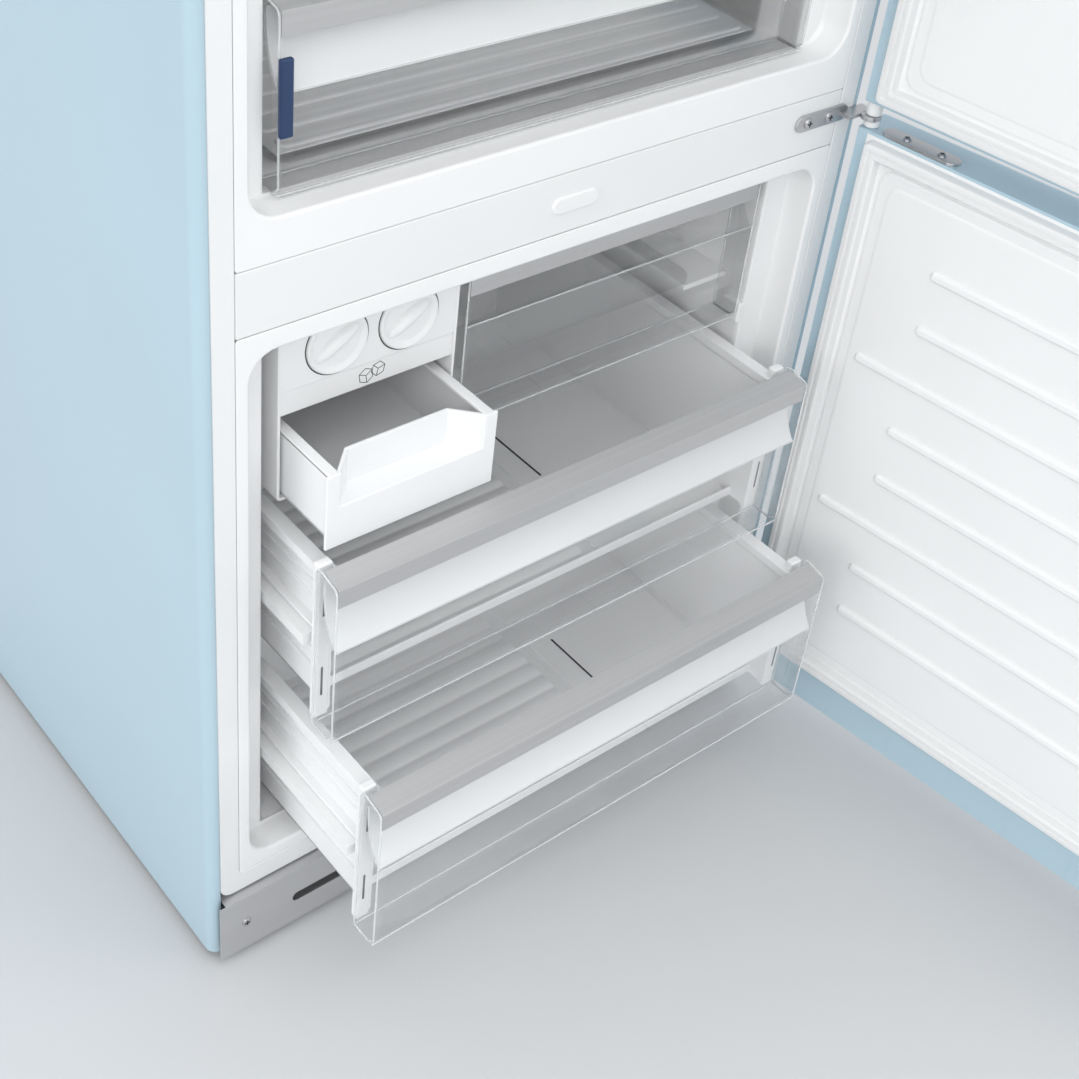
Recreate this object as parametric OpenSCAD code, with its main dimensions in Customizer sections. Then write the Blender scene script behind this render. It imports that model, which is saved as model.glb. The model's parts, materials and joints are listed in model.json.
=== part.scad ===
// Bottom freezer refrigerator with two doors, shown with both doors open,
// the two freezer drawers and the ice bin drawn out.
// Millimetres. X is the width, the doors face -Y, Z is up and the floor is z = 0.
// The origin is on the floor under the middle of the cabinet.

/* [Cabinet] */
// Width of the cabinet
cab_w = 706; // [600:1:850]
// Depth of the cabinet without its doors
cab_d = 632; // [600:1:760]
// Height of the cabinet top above the floor
cab_h = 1910; // [1750:1:2300]
// Gap between the floor and the cabinet sides
floor_gap = 10; // [8:1:16]
// Thickness of the outer sheet
shell_t = 1.5; // [1:0.1:2.5]
// Thickness of the steel plates of the chassis
plate_t = 2; // [1.5:0.1:2.5]
// Radius of the rounded front edges of the sides
shell_edge_r = 11; // [6:1:16]
// Radius of the two long top edges
shell_top_r = 24; // [10:1:40]
// Thickness of the white front frame
frame_t = 12; // [8:1:16]
// Width of the front frame at each side
frame_w = 20.5; // [12:0.5:30]
// Gap between a liner flange and the front frame
seam = 0.5; // [0.3:0.1:1.5]
// Thickness of the liners
liner_t = 2; // [1.5:0.1:3]

/* [Openings] */
// Height of the top edge of the kick plate
kick_top = 84; // [76:1:100]
// Height of the freezer floor
freezer_floor = 125; // [115:1:150]
// Height of the underside of the middle rail
mid_z = 712.5; // [690:0.5:860]
// Height of the middle rail
mid_h = 56.5; // [48:0.5:72]
// Height of the fridge floor above the middle rail
lip_h = 37; // [24:1:50]
// Depth of the recess that the doors close into
recess_d = 30; // [20:1:40]
// Width of the liner flange beside the recess
flange_w = 12.5; // [8:0.5:20]
// Width of the ledge between the recess and the compartment
ledge_w = 31; // [20:1:40]
// Depth of both compartments from the front
room_d = 560; // [520:1:640]
// Depth in front of the compressor step
step_y = 360; // [320:1:400]
// Height of the compressor step
step_z = 321; // [312:1:324]

/* [Doors] */
// Thickness of a door
door_t = 66; // [50:1:80]
// Gap between a closed door and the cabinet
door_gap = 12; // [10:1:16]
// Height of the bottom of the lower door
door_z = 56; // [52:1:60]
// Gap between the two doors
door_split = 26; // [22:1:34]
// Radius of the crown of the door front
crown_r = 6000; // [3000:100:9000]
// Radius of the rounded edges of the door front
door_r = 22; // [10:1:30]
// Thickness of the door skin
skin_t = 1.5; // [1:0.1:2.5]
// Angle that both doors stand open
door_open = 97; // [90:1:105]
// Diameter of the hinge pins
pin_d = 8; // [6:0.5:12]
// Clearance around a hinge pin, on the radius
pin_gap = 0.4; // [0.3:0.1:0.8]
// Distance from the cabinet side to the hinge axis
pivot_in = 8; // [7.5:0.5:14]
// Distance from the cabinet front to the hinge axis
pivot_out = 22; // [20:0.5:26]
// Width of the magnetic seal
gasket_w = 17; // [14:0.5:18]
// Height of the relief on the door liners
relief_h = 5; // [3:0.5:6]

/* [Drawers] */
// Height of a freezer drawer front
front_h = 174; // [140:1:185]
// Distance from one drawer to the next above it
drawer_pitch = 195; // [190:1:220]
// Depth of the clear part of a drawer front
front_d = 30; // [24:1:36]
// Height of the flat part of a drawer front
flat_h = 105; // [70:1:130]
// Depth of the metal strip on a drawer front
strip_d = 22.6; // [16:0.2:28]
// Height of the lip of the metal strip
strip_lip = 19; // [12:0.5:26]
// Thickness of the clear fronts
clear_t = 3; // [2:0.1:4]
// Thickness of the tub walls
tub_t = 2.5; // [2:0.1:4]
// Clearance at each end of a drawer front
side_gap = 3; // [2:0.5:6]
// Distance that the lower drawer stands out
lower_out = 166; // [120:1:170]
// Distance that the middle drawer stands out
middle_out = 90; // [60:1:120]
// Depth of the lower tub
lower_tub_d = 285; // [200:1:300]
// Depth of the middle tub
middle_tub_d = 420; // [300:1:440]

/* [Ice maker and flap] */
// Width of the ice maker housing
ice_w = 177; // [160:1:210]
// Depth of the ice maker housing
ice_d = 300; // [260:1:340]
// Distance that the ice bin stands out
bin_out = 63; // [40:1:80]
// Radius of a rotary knob
knob_r = 29; // [20:0.5:32]
// Distance between the two knobs
knob_pitch = 70; // [66:0.5:80]
// Height of the flap
flap_h = 154; // [120:1:160]

/* [Fridge compartment] */
// Height of the crisper front
crisper_h = 141; // [110:1:150]
// Depth of the crisper tub
crisper_d = 440; // [300:1:480]
// Thickness of the glass shelves
glass_t = 4; // [3:0.5:6]
// Distance between the glass shelves
shelf_pitch = 205; // [150:1:230]
// Depth of the door bins
door_bin_d = 100; // [70:1:110]

/* [Hidden] */
$fn = 48;
e = 0.01;
front_y = -cab_d / 2;
half_w = cab_w / 2;
top_z = cab_h - shell_edge_r;
frame_out = half_w - shell_edge_r;
frame_in = frame_out - frame_w;
recess_x = frame_in - flange_w;
room_x = recess_x - ledge_w;
frame_z0 = kick_top + 2;
lower_z0 = kick_top + 26;
lower_z1 = mid_z;
upper_z0 = mid_z + mid_h;
upper_z1 = top_z - 24;
fridge_floor = upper_z0 + lip_h;
fridge_top = upper_z1 - 12;
freezer_top = mid_z - 19;
niche_z = 300;
pivot_x = half_w - pivot_in;
pivot_y = -pivot_out;
split_z = mid_z + 23.5;
upper_door_z0 = split_z + door_split;
upper_door_z1 = cab_h - 6;
door_w = cab_w - 2;
bracket_z = door_z - 10;
door_back = -door_gap;
door_front = -door_gap - door_t;
front_x = room_x - side_gap;
tub_x = front_x - 17;
home_y = 18;
ledge_y = recess_d + front_d;
kick_y = pivot_y + 12.5;
lower_zf = freezer_floor + 3.5;
middle_zf = lower_zf + drawer_pitch;
flap_zf = middle_zf + drawer_pitch + 1;
flap_y = recess_d + 0.6;
flap_back = flap_y + front_d + 1.4;
ice_x0 = -room_x + 13;
ice_x1 = ice_x0 + ice_w;
ice_z0 = flap_zf - 5;
ice_z1 = freezer_top - 2;
ice_split = ice_z0 + 85;
flap_x0 = ice_x1 + 8;
flap_x1 = room_x - 8;
knob_z = ice_z1 - 36;
knob_x1 = ice_x0 + 55;
knob_x2 = knob_x1 + knob_pitch;
crisper_y = 20;
crisper_zf = fridge_floor + 2;
shelf_z0 = crisper_zf + crisper_h + 9;
shelf_y0 = door_bin_d + 30;
shelf_y1 = room_d - 15;
bin_x = room_x - 18;
arm_z = split_z + door_split / 2 - 3;
hinge_screws = [pivot_x - 68, pivot_x - 40];
top_screws = [pivot_x - 89, pivot_x - 61];
kick_screw_x = half_w - 33;
kick_screw_z = 48;
foot_x = half_w - 43;
foot_y = 40;
foot_r = 20;
axle_y = cab_d - 42;
roller_r = 18;
roller_x0 = half_w - 46;
roller_x1 = half_w - 30;
deck_z = 30;
inlet_z = niche_z + 30;
inlet_x = 250;
fan_z = freezer_top - 62;
dial_x = 100;
dial_z = fridge_top - 17;
gasket_x = frame_out - 4;
panel_x = gasket_x - gasket_w - 5;
rib_pitch = (split_z - door_z - 200) / 8;
white = [0.95, 0.95, 0.95];
blue = [0.73, 0.83, 0.88];
grey = [0.65, 0.66, 0.68];
clear = [0.85, 0.9, 0.92, 0.5];
dark = [0.2, 0.2, 0.22];

// ---------- helpers ----------

// Puts y = 0 on the front plane of the cabinet.
module from_front() {
    translate([0, front_y, 0]) children();
}

// A box between two opposite corners.
module box(a, b) {
    translate(a) cube(b - a);
}

// A box that spans the width evenly about the middle.
module wide(x, y0, y1, z0, z1) {
    box([-x, y0, z0], [x, y1, z1]);
}

// The same shape at the left and at the right.
module both_sides() {
    children();
    mirror([1, 0, 0]) children();
}

// A rod along Y from y0 to y1.
module rod_y(x, z, r, y0, y1) {
    translate([x, y0, z]) rotate([-90, 0, 0]) cylinder(r = r, h = y1 - y0);
}

// A rod along X from x0 to x1.
module rod_x(y, z, r, x0, x1) {
    translate([x0, y, z]) rotate([0, 90, 0]) cylinder(r = r, h = x1 - x0);
}

// A rod along Z from z0 to z1.
module rod_z(x, y, r, z0, z1) {
    translate([x, y, z0]) cylinder(r = r, h = z1 - z0);
}

// A profile drawn in Y and Z, drawn out along X.
module along_x(x0, x1) {
    translate([x0, 0, 0]) rotate([90, 0, 90]) linear_extrude(x1 - x0) children();
}

// An open tub between two corners, with walls t thick.
module tub(a, b, t) {
    difference() {
        box(a, b);
        box(a + [t, t, t], b + [-t, -t, t]);
    }
}

// A slot with round ends through a plate that faces Y.
module slot_y(x0, x1, z, r, y0, y1) {
    rod_y(x0 + r, z, r, y0, y1);
    rod_y(x1 - r, z, r, y0, y1);
    box([x0 + r, y0, z - r], [x1 - r, y1, z + r]);
}

// Turns a door from closed to where it stands open.
module opened() {
    translate([pivot_x, pivot_y, 0]) rotate(door_open) translate([-pivot_x, -pivot_y, 0])
        children();
}

// ---------- cabinet ----------

// The outline of the cabinet, made smaller by t on every outside face.
module cabinet_block(t, y1) {
    r = shell_edge_r - min(t, shell_edge_r - 1);
    rt = shell_top_r - min(t, shell_top_r - 1);
    x = half_w - t;
    z = cab_h - t;
    intersection() {
        union() {
            wide(x, r, y1, floor_gap, z);
            wide(x - r, 0, y1, floor_gap, z);
            both_sides() rod_z(x - r, r, r, floor_gap, z);
        }
        union() {
            wide(x, -1, y1 + 1, floor_gap - 1, z - rt);
            wide(x - rt, -1, y1 + 1, floor_gap - 1, z + 1);
            both_sides() rod_y(x - rt, z - rt, rt, -1, y1 + 1);
        }
    }
}

module outer_shell() color(blue) from_front() difference() {
    cabinet_block(0, cab_d);
    difference() {
        cabinet_block(shell_t, cab_d + 1);
        wide(cab_w, -1, frame_t, 0, 2 * cab_h);
    }
    wide(half_w - shell_t, frame_t, cab_d + 1, 0, cab_h - shell_top_r);
    wide(frame_out, -1, frame_t + 1, 0, top_z);
}

module back_panel() color(grey) from_front() difference() {
    intersection() {
        cabinet_block(shell_t, cab_d);
        wide(cab_w, cab_d - 1, cab_d, niche_z, cab_h);
    }
    rod_y(inlet_x, inlet_z, 11, cab_d - 2, cab_d + 1);
}

module base_chassis() color(grey) from_front() {
    x = half_w - shell_t;
    deck_y = step_y + 40;
    wide(x, frame_t, deck_y, frame_z0 - plate_t, frame_z0);
    wide(x - plate_t, deck_y, deck_y + plate_t, deck_z, niche_z);
    difference() {
        wide(x, deck_y, cab_d - 1, niche_z - plate_t, niche_z);
        box([inlet_x - 12, cab_d - 22, niche_z - 3], [inlet_x + 12, cab_d - 8, niche_z + 1]);
    }
    difference() {
        wide(x - plate_t, deck_y, cab_d - 1, deck_z, deck_z + plate_t);
        both_sides()
            box([roller_x0 - 4, axle_y - 20, deck_z - 1], [roller_x1 + 4, axle_y + 20, deck_z + 3]);
    }
    both_sides() difference() {
        union() {
            box([x - plate_t, frame_t, floor_gap], [x, cab_d - 1, frame_z0 - plate_t]);
            box([roller_x0 - 6, axle_y - 18, 12], [roller_x0 - 4, axle_y + 18, deck_z + plate_t]);
            box([foot_x - 20, 24, 38], [x, 56, 40]);
        }
        rod_x(axle_y, roller_r, 4.6, roller_x0 - 8, x + 1);
        rod_z(foot_x, foot_y, 5.2, 37, 41);
    }
}

module foam_block() {
    difference() {
        cabinet_block(shell_t + e, cab_d - 1);
        wide(cab_w, -1, frame_t, 0, 2 * cab_h);
        wide(cab_w, -1, cab_d, 0, frame_z0);
        box([-cab_w, step_y + 40, 0], [cab_w, cab_d, niche_z]);
    }
}

module insulation() color([0.9, 0.85, 0.7]) from_front() difference() {
    foam_block();
    wide(recess_x + liner_t, 0, recess_d + liner_t, fridge_floor - liner_t,
         fridge_top + liner_t);
    wide(room_x + liner_t, 0, room_d + liner_t, fridge_floor - liner_t,
         fridge_top + liner_t);
    wide(recess_x + liner_t, 0, recess_d + liner_t, freezer_floor - liner_t,
         freezer_top + liner_t);
    freezer_room(liner_t);
    box([-frame_in, 0, mid_z], [frame_in, 40, upper_z0]);
    box([inlet_x - 12, cab_d - 22, niche_z - 1], [inlet_x + 12, cab_d, inlet_z + 12]);
}

module front_frame() color(white) from_front() difference() {
    wide(frame_out, 0, frame_t, frame_z0, top_z);
    wide(frame_in, -1, frame_t + 1, lower_z0, upper_z1);
}

module mid_rail() color(white) from_front() difference() {
    wide(frame_in - seam, 0, 40, upper_z0 - mid_h, upper_z0);
    wide(24, -1, 2.5, mid_z + 20, mid_z + 36);
    for (x = hinge_screws) rod_y(x, arm_z, 1.7, -1, 13);
}

module mid_rail_cap() color(white) from_front() {
    wide(17, -2.5, 2.3, mid_z + 20.2, mid_z + 35.8);
    both_sides() rod_y(17, mid_z + 28, 7.8, -2.5, 0);
}

// The freezer compartment, t larger all round.
module freezer_room(t) {
    wide(room_x + t, recess_d, step_y + t, freezer_floor - t, freezer_top + t);
    wide(room_x + t, step_y, room_d + t, step_z - t, freezer_top + t);
}

// A liner with its flange, recess and walls, between two heights.
module liner(z0, z1, floor, roof) {
    difference() {
        union() {
            wide(frame_in - seam, 0, 2.5, z0 + seam, z1 - seam);
            wide(recess_x + liner_t, 0, recess_d + liner_t, floor - liner_t, roof + liner_t);
            children(0);
        }
        wide(recess_x, -1, recess_d, floor, roof);
        children(1);
    }
}

// A ledge on a side wall that a runner rests on.
module runner_ledge(z, y1) {
    both_sides() box([tub_x + 4, ledge_y, z - 4], [room_x + e, y1, z]);
}

module fridge_liner() color(white) from_front() {
    liner(upper_z0, upper_z1, fridge_floor, fridge_top) {
        wide(room_x + liner_t, recess_d, room_d + liner_t, fridge_floor - liner_t,
             fridge_top + liner_t);
        wide(room_x, recess_d - 1, room_d, fridge_floor, fridge_top);
    }
    for (i = [0:3])
        both_sides() box([room_x - 9, i == 0 ? 50 : shelf_y0 + 10,
                          shelf_z0 + i * shelf_pitch - 5],
                         [room_x, shelf_y1, shelf_z0 + i * shelf_pitch]);
    runner_ledge(crisper_zf + 96, 500);
}

module freezer_liner() color(white) from_front() difference() {
    union() {
        liner(lower_z0, lower_z1, freezer_floor, freezer_top) {
            freezer_room(liner_t);
            translate([0, -e, 0]) freezer_room(0);
        }
        runner_ledge(lower_zf + 84, step_y - 10);
        runner_ledge(middle_zf + 84, 480);
        box([flap_x1 - 60, flap_back, flap_zf + 30], [room_x, 440, flap_zf + 36]);
        box([flap_x1 + 1, recess_d - 2, flap_zf - 8], [room_x, 52, flap_zf + 14]);
        rod_y(room_x - 6, freezer_top - 14, 4, flap_back, flap_back + 15);
        rod_y(0, fan_z, 9, room_d - 14, room_d + e);
    }
    rod_x(flap_y + 8, flap_zf + 4.5, 3.3, flap_x1 - 1, room_x + 1);
    rod_y(0, fan_z, 3.4, room_d - 15, room_d);
}

module kick_plate() color(grey) from_front() difference() {
    union() {
        wide(half_w - 5, kick_y, kick_y + 1.5, 8, kick_top);
        wide(frame_out - 1, kick_y + 1, frame_t + 12, kick_top - 1.5, kick_top);
    }
    for (i = [-1:1]) slot_y(i * 194 - 74, i * 194 + 74, 44, 6, -11, -7);
    both_sides() rod_y(kick_screw_x, kick_screw_z, 2.4, -11, -7);
    box([pivot_x - 18, -11, bracket_z - 3], [half_w, 0, bracket_z + 7]);
}

// A cross-head screw whose head rests on y and whose shank goes back l.
module screw_y(x, y, z, r, l) {
    difference() {
        union() {
            rod_y(x, z, r, y - 2.2, y);
            rod_y(x, z, r * 0.36, y, y + l);
        }
        box([x - r * 0.6, y - 3, z - 0.5], [x + r * 0.6, y - 1, z + 0.5]);
        box([x - 0.5, y - 3, z - r * 0.6], [x + 0.5, y - 1, z + r * 0.6]);
    }
}

// A cross-head screw whose head rests on z and whose shank goes down l.
module screw_z(x, y, z, r, l) {
    translate([x, y, z]) rotate([-90, 0, 0]) screw_y(0, 0, 0, r, l);
}

module fixing_screws() color(grey) from_front() {
    both_sides() screw_y(kick_screw_x, kick_y, kick_screw_z, 5, 14);
    for (x = hinge_screws) screw_y(x, -3, arm_z, 4.5, 14);
    for (x = top_screws) screw_z(x, 40, cab_h + 3, 4.5, 2.9);
}

module front_feet() color(dark) from_front() both_sides() {
    rod_z(foot_x, foot_y, foot_r, 0, 8);
    rod_z(foot_x, foot_y, 5, 8, 62);
    rod_z(foot_x, foot_y, 9, 26, 37.8);
}

module rear_rollers() color(dark) from_front() {
    rod_x(axle_y, roller_r, 4, -half_w + 2, half_w - 2);
    both_sides() rod_x(axle_y, roller_r, 10, roller_x1, roller_x1 + 14);
    both_sides() rod_x(axle_y, roller_r, roller_r, roller_x0, roller_x1);
}

module compressor() color(dark) from_front() {
    translate([-120, cab_d - 125, 0]) {
        for (x = [-70, 70], y = [-45, 45]) rod_z(x, y, 9, deck_z + plate_t, 43.5);
        box([-85, -55, 43.5], [85, 55, 46.5]);
        rod_z(0, 0, 70, 46.5, 140);
        translate([0, 0, 140]) rotate_extrude() intersection() {
            square([70, 45]);
            scale([1, 0.62]) circle(r = 70, $fn = 96);
        }
        rod_z(0, 0, 16, 170, 190);
        rod_z(85, 0, 5, 60, 120);
        box([64, -20, 60], [90, 20, 66]);
    }
}

module condenser() color(dark) from_front() {
    y = cab_d + 10;
    for (i = [0:7]) rod_x(y, 520 + i * 130, 3, -250, 250);
    for (i = [0:6])
        translate([i % 2 == 0 ? 250 : -250, y, 585 + i * 130])
            rotate([90, 0, i % 2 == 0 ? 0 : 180]) rotate([0, 0, -90])
                rotate_extrude(angle = 180) translate([65, 0]) circle(r = 3, $fn = 16);
    for (i = [-4:4]) box([i * 52 - 1, y + 2.5, 490], [i * 52 + 1, y + 4.5, 1460]);
    both_sides() box([200, cab_d, 700], [206, y + 2.6, 712]);
    both_sides() box([200, cab_d, 1300], [206, y + 2.6, 1312]);
}

module evaporator() color(grey) from_front() {
    for (i = [-6:6]) box([i * 30 - 0.8, room_d - 44, 380], [i * 30 + 0.8, room_d - e, 580]);
    for (i = [0:3]) rod_x(room_d - 26, 410 + i * 53, 5, -195, 195);
}

module evaporator_cover() color(white) from_front() difference() {
    wide(room_x, room_d - 54, room_d - 52, step_z, freezer_top);
    rod_y(0, fan_z, 46, room_d - 55, room_d - 51);
    for (i = [0:4])
        slot_y(-200, 200, step_z + 22 + i * 16, 4, room_d - 55, room_d - 51);
}

module fan_rotor() color(dark) from_front() translate([0, room_d - 34, fan_z]) {
    rod_y(0, 0, 13, -14, 10);
    rod_y(0, 0, 3, 10, 33.7);
    for (a = [0:72:359]) rotate([0, a, 0]) translate([8, -7, 0]) rotate([32, 0, 0])
        box([0, -1, -12], [33, 1, 12]);
}

module drain_tray() color(dark) from_front() {
    tub([-220, cab_d - 200, 190], [-20, cab_d - 30, 216], 2);
}

module cable_gland() color(dark) from_front() difference() {
    union() {
        rod_y(inlet_x, inlet_z, 10.8, cab_d - 8, cab_d + 1);
        rod_y(inlet_x, inlet_z, 15, cab_d, cab_d + 4);
        rod_y(inlet_x, inlet_z, 9, cab_d + 4, cab_d + 12);
    }
    rod_y(inlet_x, inlet_z, 4, cab_d - 9, cab_d + 13);
}

module top_hinge() color(grey) from_front() {
    difference() {
        union() {
            box([pivot_x - 102, pivot_y + 14, cab_h], [pivot_x - 4, 80, cab_h + 3]);
            box([pivot_x - 16, pivot_y, cab_h], [pivot_x + 8, 20, cab_h + 3]);
            rod_z(pivot_x, pivot_y, 8, cab_h, cab_h + 3);
        }
        for (x = top_screws) rod_z(x, 40, 1.8, cab_h - 1, cab_h + 4);
    }
    rod_z(pivot_x, pivot_y, pin_d / 2, upper_door_z1 - 20, cab_h + 6);
}

module mid_hinge() color(grey) from_front() {
    difference() {
        union() {
            box([pivot_x - 83, -3, arm_z - 8], [pivot_x - 16, 0, arm_z + 8]);
            box([pivot_x - 26, pivot_y + 6, arm_z - 2], [pivot_x + 8, 0, arm_z + 2]);
            box([pivot_x - 12, pivot_y, arm_z - 2], [pivot_x + 8, pivot_y + 7, arm_z + 2]);
            rod_z(pivot_x, pivot_y, 8, arm_z - 2, arm_z + 2);
        }
        for (x = hinge_screws) rod_y(x, arm_z, 1.8, -4, 1);
    }
    rod_z(pivot_x, pivot_y, pin_d / 2, split_z - 18, upper_door_z0 + 18);
}

module bottom_hinge() color(grey) from_front() {
    x0 = pivot_x - 16;
    x1 = frame_out - 0.5;
    box([x0, pivot_y, bracket_z], [pivot_x + 6, -0.5, bracket_z + 4]);
    box([x0, -1, bracket_z], [x1, frame_t + 12, bracket_z + 4]);
    box([x0, frame_t + 12.3, bracket_z], [x1, frame_t + 16, frame_z0 - plate_t]);
    box([x0, frame_t + 8, bracket_z], [x1, frame_t + 16, bracket_z + 4]);
    rod_z(pivot_x, pivot_y, 6, bracket_z, bracket_z + 4);
    rod_z(pivot_x, pivot_y, pin_d / 2, bracket_z, door_z + 20);
}

// A bush ring around a hinge pin.
module bush(z0, z1) {
    difference() {
        rod_z(pivot_x, pivot_y, 7.5, z0, z1);
        rod_z(pivot_x, pivot_y, pin_d / 2 + 0.05, z0 - 1, z1 + 1);
    }
}

module hinge_bushes() color(white) from_front() {
    bush(bracket_z + 4, door_z - 0.3);
    bush(split_z + 0.3, arm_z - 2);
    bush(arm_z + 2, upper_door_z0 - 0.3);
    bush(upper_door_z1 + 0.3, cab_h);
}

module control_panel() color(white) from_front() difference() {
    union() {
        wide(150, 70, 230, fridge_top - 34, fridge_top);
        box([-60, 110, fridge_top - 38], [60, 200, fridge_top - 33]);
    }
    rod_y(dial_x, dial_z, 4.3, 60, 96);
    rod_y(dial_x, dial_z, 14.4, 69, 80);
}

module control_dial() color(grey) from_front() {
    rod_y(dial_x, dial_z, 14, 66, 79.7);
    rod_y(dial_x, dial_z, 4, 79, 95);
    box([dial_x - 1.5, 62, dial_z - 12], [dial_x + 1.5, 66.1, dial_z + 12]);
}

module glass_shelves() color(clear) from_front() {
    for (i = [0:3])
        wide(room_x - 2, i == 0 ? 45 : shelf_y0, shelf_y1, shelf_z0 + i * shelf_pitch,
             shelf_z0 + i * shelf_pitch + glass_t);
    box([ice_x1 + 4, flap_back, flap_zf + 36], [flap_x1 - 37, 440, flap_zf + 36 + glass_t]);
}

// ---------- ice maker ----------

module ice_module() color(white) from_front() difference() {
    union() {
        box([ice_x0, flap_y, ice_z0], [ice_x1, flap_y + ice_d, ice_z1]);
        box([-room_x, flap_y + 60, ice_split + 10], [ice_x0 + 1, 200, ice_split + 30]);
        box([ice_x1 - 1, flap_back, flap_zf + 30], [ice_x1 + 24, 300, flap_zf + 36]);
        box([ice_x1 - 1, recess_d + 2, flap_zf - 5], [flap_x0 - 1, 52, flap_zf + 14]);
    }
    box([ice_x0 + 2.5, flap_y + 2.5, ice_z0 + 2.5],
        [ice_x1 - 2.5, flap_y + ice_d - 2.5, ice_z1 - 2.5]);
    box([ice_x0 + 2.5, flap_y - 1, ice_z0 + 2.5], [ice_x1 - 2.5, flap_y + 4, ice_split]);
    for (x = [knob_x1, knob_x2]) rod_y(x, knob_z, knob_r + 1.3, flap_y - 1, flap_y + 4);
    rod_x(flap_y + 8, flap_zf + 4.5, 3.3, ice_x1 + 1, flap_x0 + 1);
}

// A dished knob with a raised grip bar and a shaft.
module knob(x) {
    difference() {
        rod_y(x, knob_z, knob_r, flap_y - 1, flap_y + 6);
        rod_y(x, knob_z, knob_r - 3, flap_y - 2, flap_y + 2);
    }
    translate([x, flap_y, knob_z]) rotate([0, -35, 0])
        box([-knob_r + 4, -7, -4.5], [knob_r - 4, 3, 4.5]);
    rod_y(x, knob_z, 6, flap_y + 6, flap_y + 24);
}

// A twisting ice tray behind a knob.
module ice_tray(x) {
    difference() {
        box([x - 27, flap_y + 24, knob_z - 12], [x + 27, flap_y + ice_d - 30, knob_z + 12]);
        for (i = [0:6], s = [-1, 1])
            box([x + s * 13 - 11, flap_y + 27 + i * 34, knob_z - 9],
                [x + s * 13 + 11, flap_y + 57 + i * 34, knob_z + 13]);
    }
    rod_y(x, knob_z, 5, flap_y + ice_d - 30.5, flap_y + ice_d - 6);
}

module left_knob() color(white) from_front() knob(knob_x1);
module right_knob() color(white) from_front() knob(knob_x2);
module left_ice_tray() color(clear) from_front() ice_tray(knob_x1);
module right_ice_tray() color(clear) from_front() ice_tray(knob_x2);

module ice_runners() color(white) from_front() translate([0, -bin_out, 0])
    for (x = [ice_x0 + 12, ice_x1 - 22])
        box([x, flap_y + 6, ice_z0 + 2.7], [x + 10, flap_y + 240, ice_z0 + 4.7]);

module ice_bin() color(white) from_front() translate([0, flap_y - bin_out, 0])
    difference() {
        union() {
            tub([ice_x0 + 5.5, -1, ice_z0 + 5], [ice_x1 - 5.5, ice_d - 25, ice_z0 + 68], tub_t);
            box([ice_x0 + 3, -3.6, ice_z0 - 5.5], [ice_x1 - 3, -0.6, ice_z0 + 70]);
            box([ice_x0 + 5.5, -1, ice_z0 + 64], [ice_x0 + 14, ice_d - 25, ice_z0 + 68]);
        }
        box([ice_x0 + 24, -4, ice_z0 + 42], [ice_x1 - 24, 3, ice_z0 + 71]);
    }

// ---------- drawers ----------

// The clear front of a drawer: a flat face, a finger recess above it and end plates.
module clear_front(x0, x1, h, flat) {
    t = clear_t;
    d = strip_d - 1;
    k = (h - flat) / 7;
    along_x(x0, x1) polygon([
        [0, 0], [0, flat], [2, flat + k], [5, flat + 2 * k], [9, flat + 3 * k],
        [13, flat + 4 * k], [d - 5, flat + 5 * k], [d - 3, h - 3], [d + t - 2, h - 3],
        [d + t - 4, flat + 5 * k - 1], [13 + t, flat + 4 * k - 2],
        [9 + t, flat + 3 * k - 2], [5 + t, flat + 2 * k - 1], [t + 2, flat + k - 1],
        [t, flat], [t, t], [front_d, t], [front_d, 0],
    ]);
    for (x = [x0, x1 - t]) along_x(x, x + t)
        polygon([[0, 0], [0, h], [strip_d, h + 5], [front_d, h + 5], [front_d, 0]]);
}

// The metal strip on top of a clear front.
module strip(x0, x1, h) {
    along_x(x0 + clear_t + 0.3, x1 - clear_t - 0.3) polygon([
        [0, h - strip_lip], [0, h], [strip_d, h + 5], [strip_d, h + 3.2],
        [1.8, h - 1.8], [1.8, h - strip_lip],
    ]);
}

// The white tub behind a front, with its rim, side rails and front flanges.
module drawer_tub(d, h) {
    tub([-tub_x, front_d, 8], [tub_x, front_d + d, h - 6], tub_t);
    both_sides() {
        box([tub_x - e, front_d, h - 16], [tub_x + 8, front_d + d, h - 6]);
        box([tub_x - e, front_d + 12, 96], [tub_x + 8, front_d + d - 40, 100]);
        box([tub_x - e, front_d + 12, 40], [tub_x + 3, front_d + d - 40, 44]);
        box([tub_x - e, front_d, 3], [front_x - 0.5, front_d + 10, h + 4]);
    }
}

// A pair of runners under the side rails of a drawer.
module runners(z, d) {
    both_sides() box([tub_x + 1.5, front_d + 12, z + 84.3], [room_x - 1.2, front_d + d, z + 95.6]);
}

module lower_runners() color(grey) from_front()
    translate([0, home_y - lower_out, 0]) runners(lower_zf, lower_tub_d - 45);
module lower_tub() color(white) from_front()
    translate([0, home_y - lower_out, lower_zf]) drawer_tub(lower_tub_d, front_h);
module lower_front() color(clear) from_front()
    translate([0, home_y - lower_out, lower_zf]) clear_front(-front_x, front_x, front_h, flat_h);
module lower_strip() color(grey) from_front()
    translate([0, home_y - lower_out, lower_zf]) strip(-front_x, front_x, front_h);

module middle_runners() color(grey) from_front()
    translate([0, home_y - middle_out, 0]) runners(middle_zf, middle_tub_d - 45);
module middle_tub() color(white) from_front()
    translate([0, home_y - middle_out, middle_zf]) drawer_tub(middle_tub_d, front_h);
module middle_front() color(clear) from_front()
    translate([0, home_y - middle_out, middle_zf])
        clear_front(-front_x, front_x, front_h, flat_h);
module middle_strip() color(grey) from_front()
    translate([0, home_y - middle_out, middle_zf]) strip(-front_x, front_x, front_h);

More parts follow.
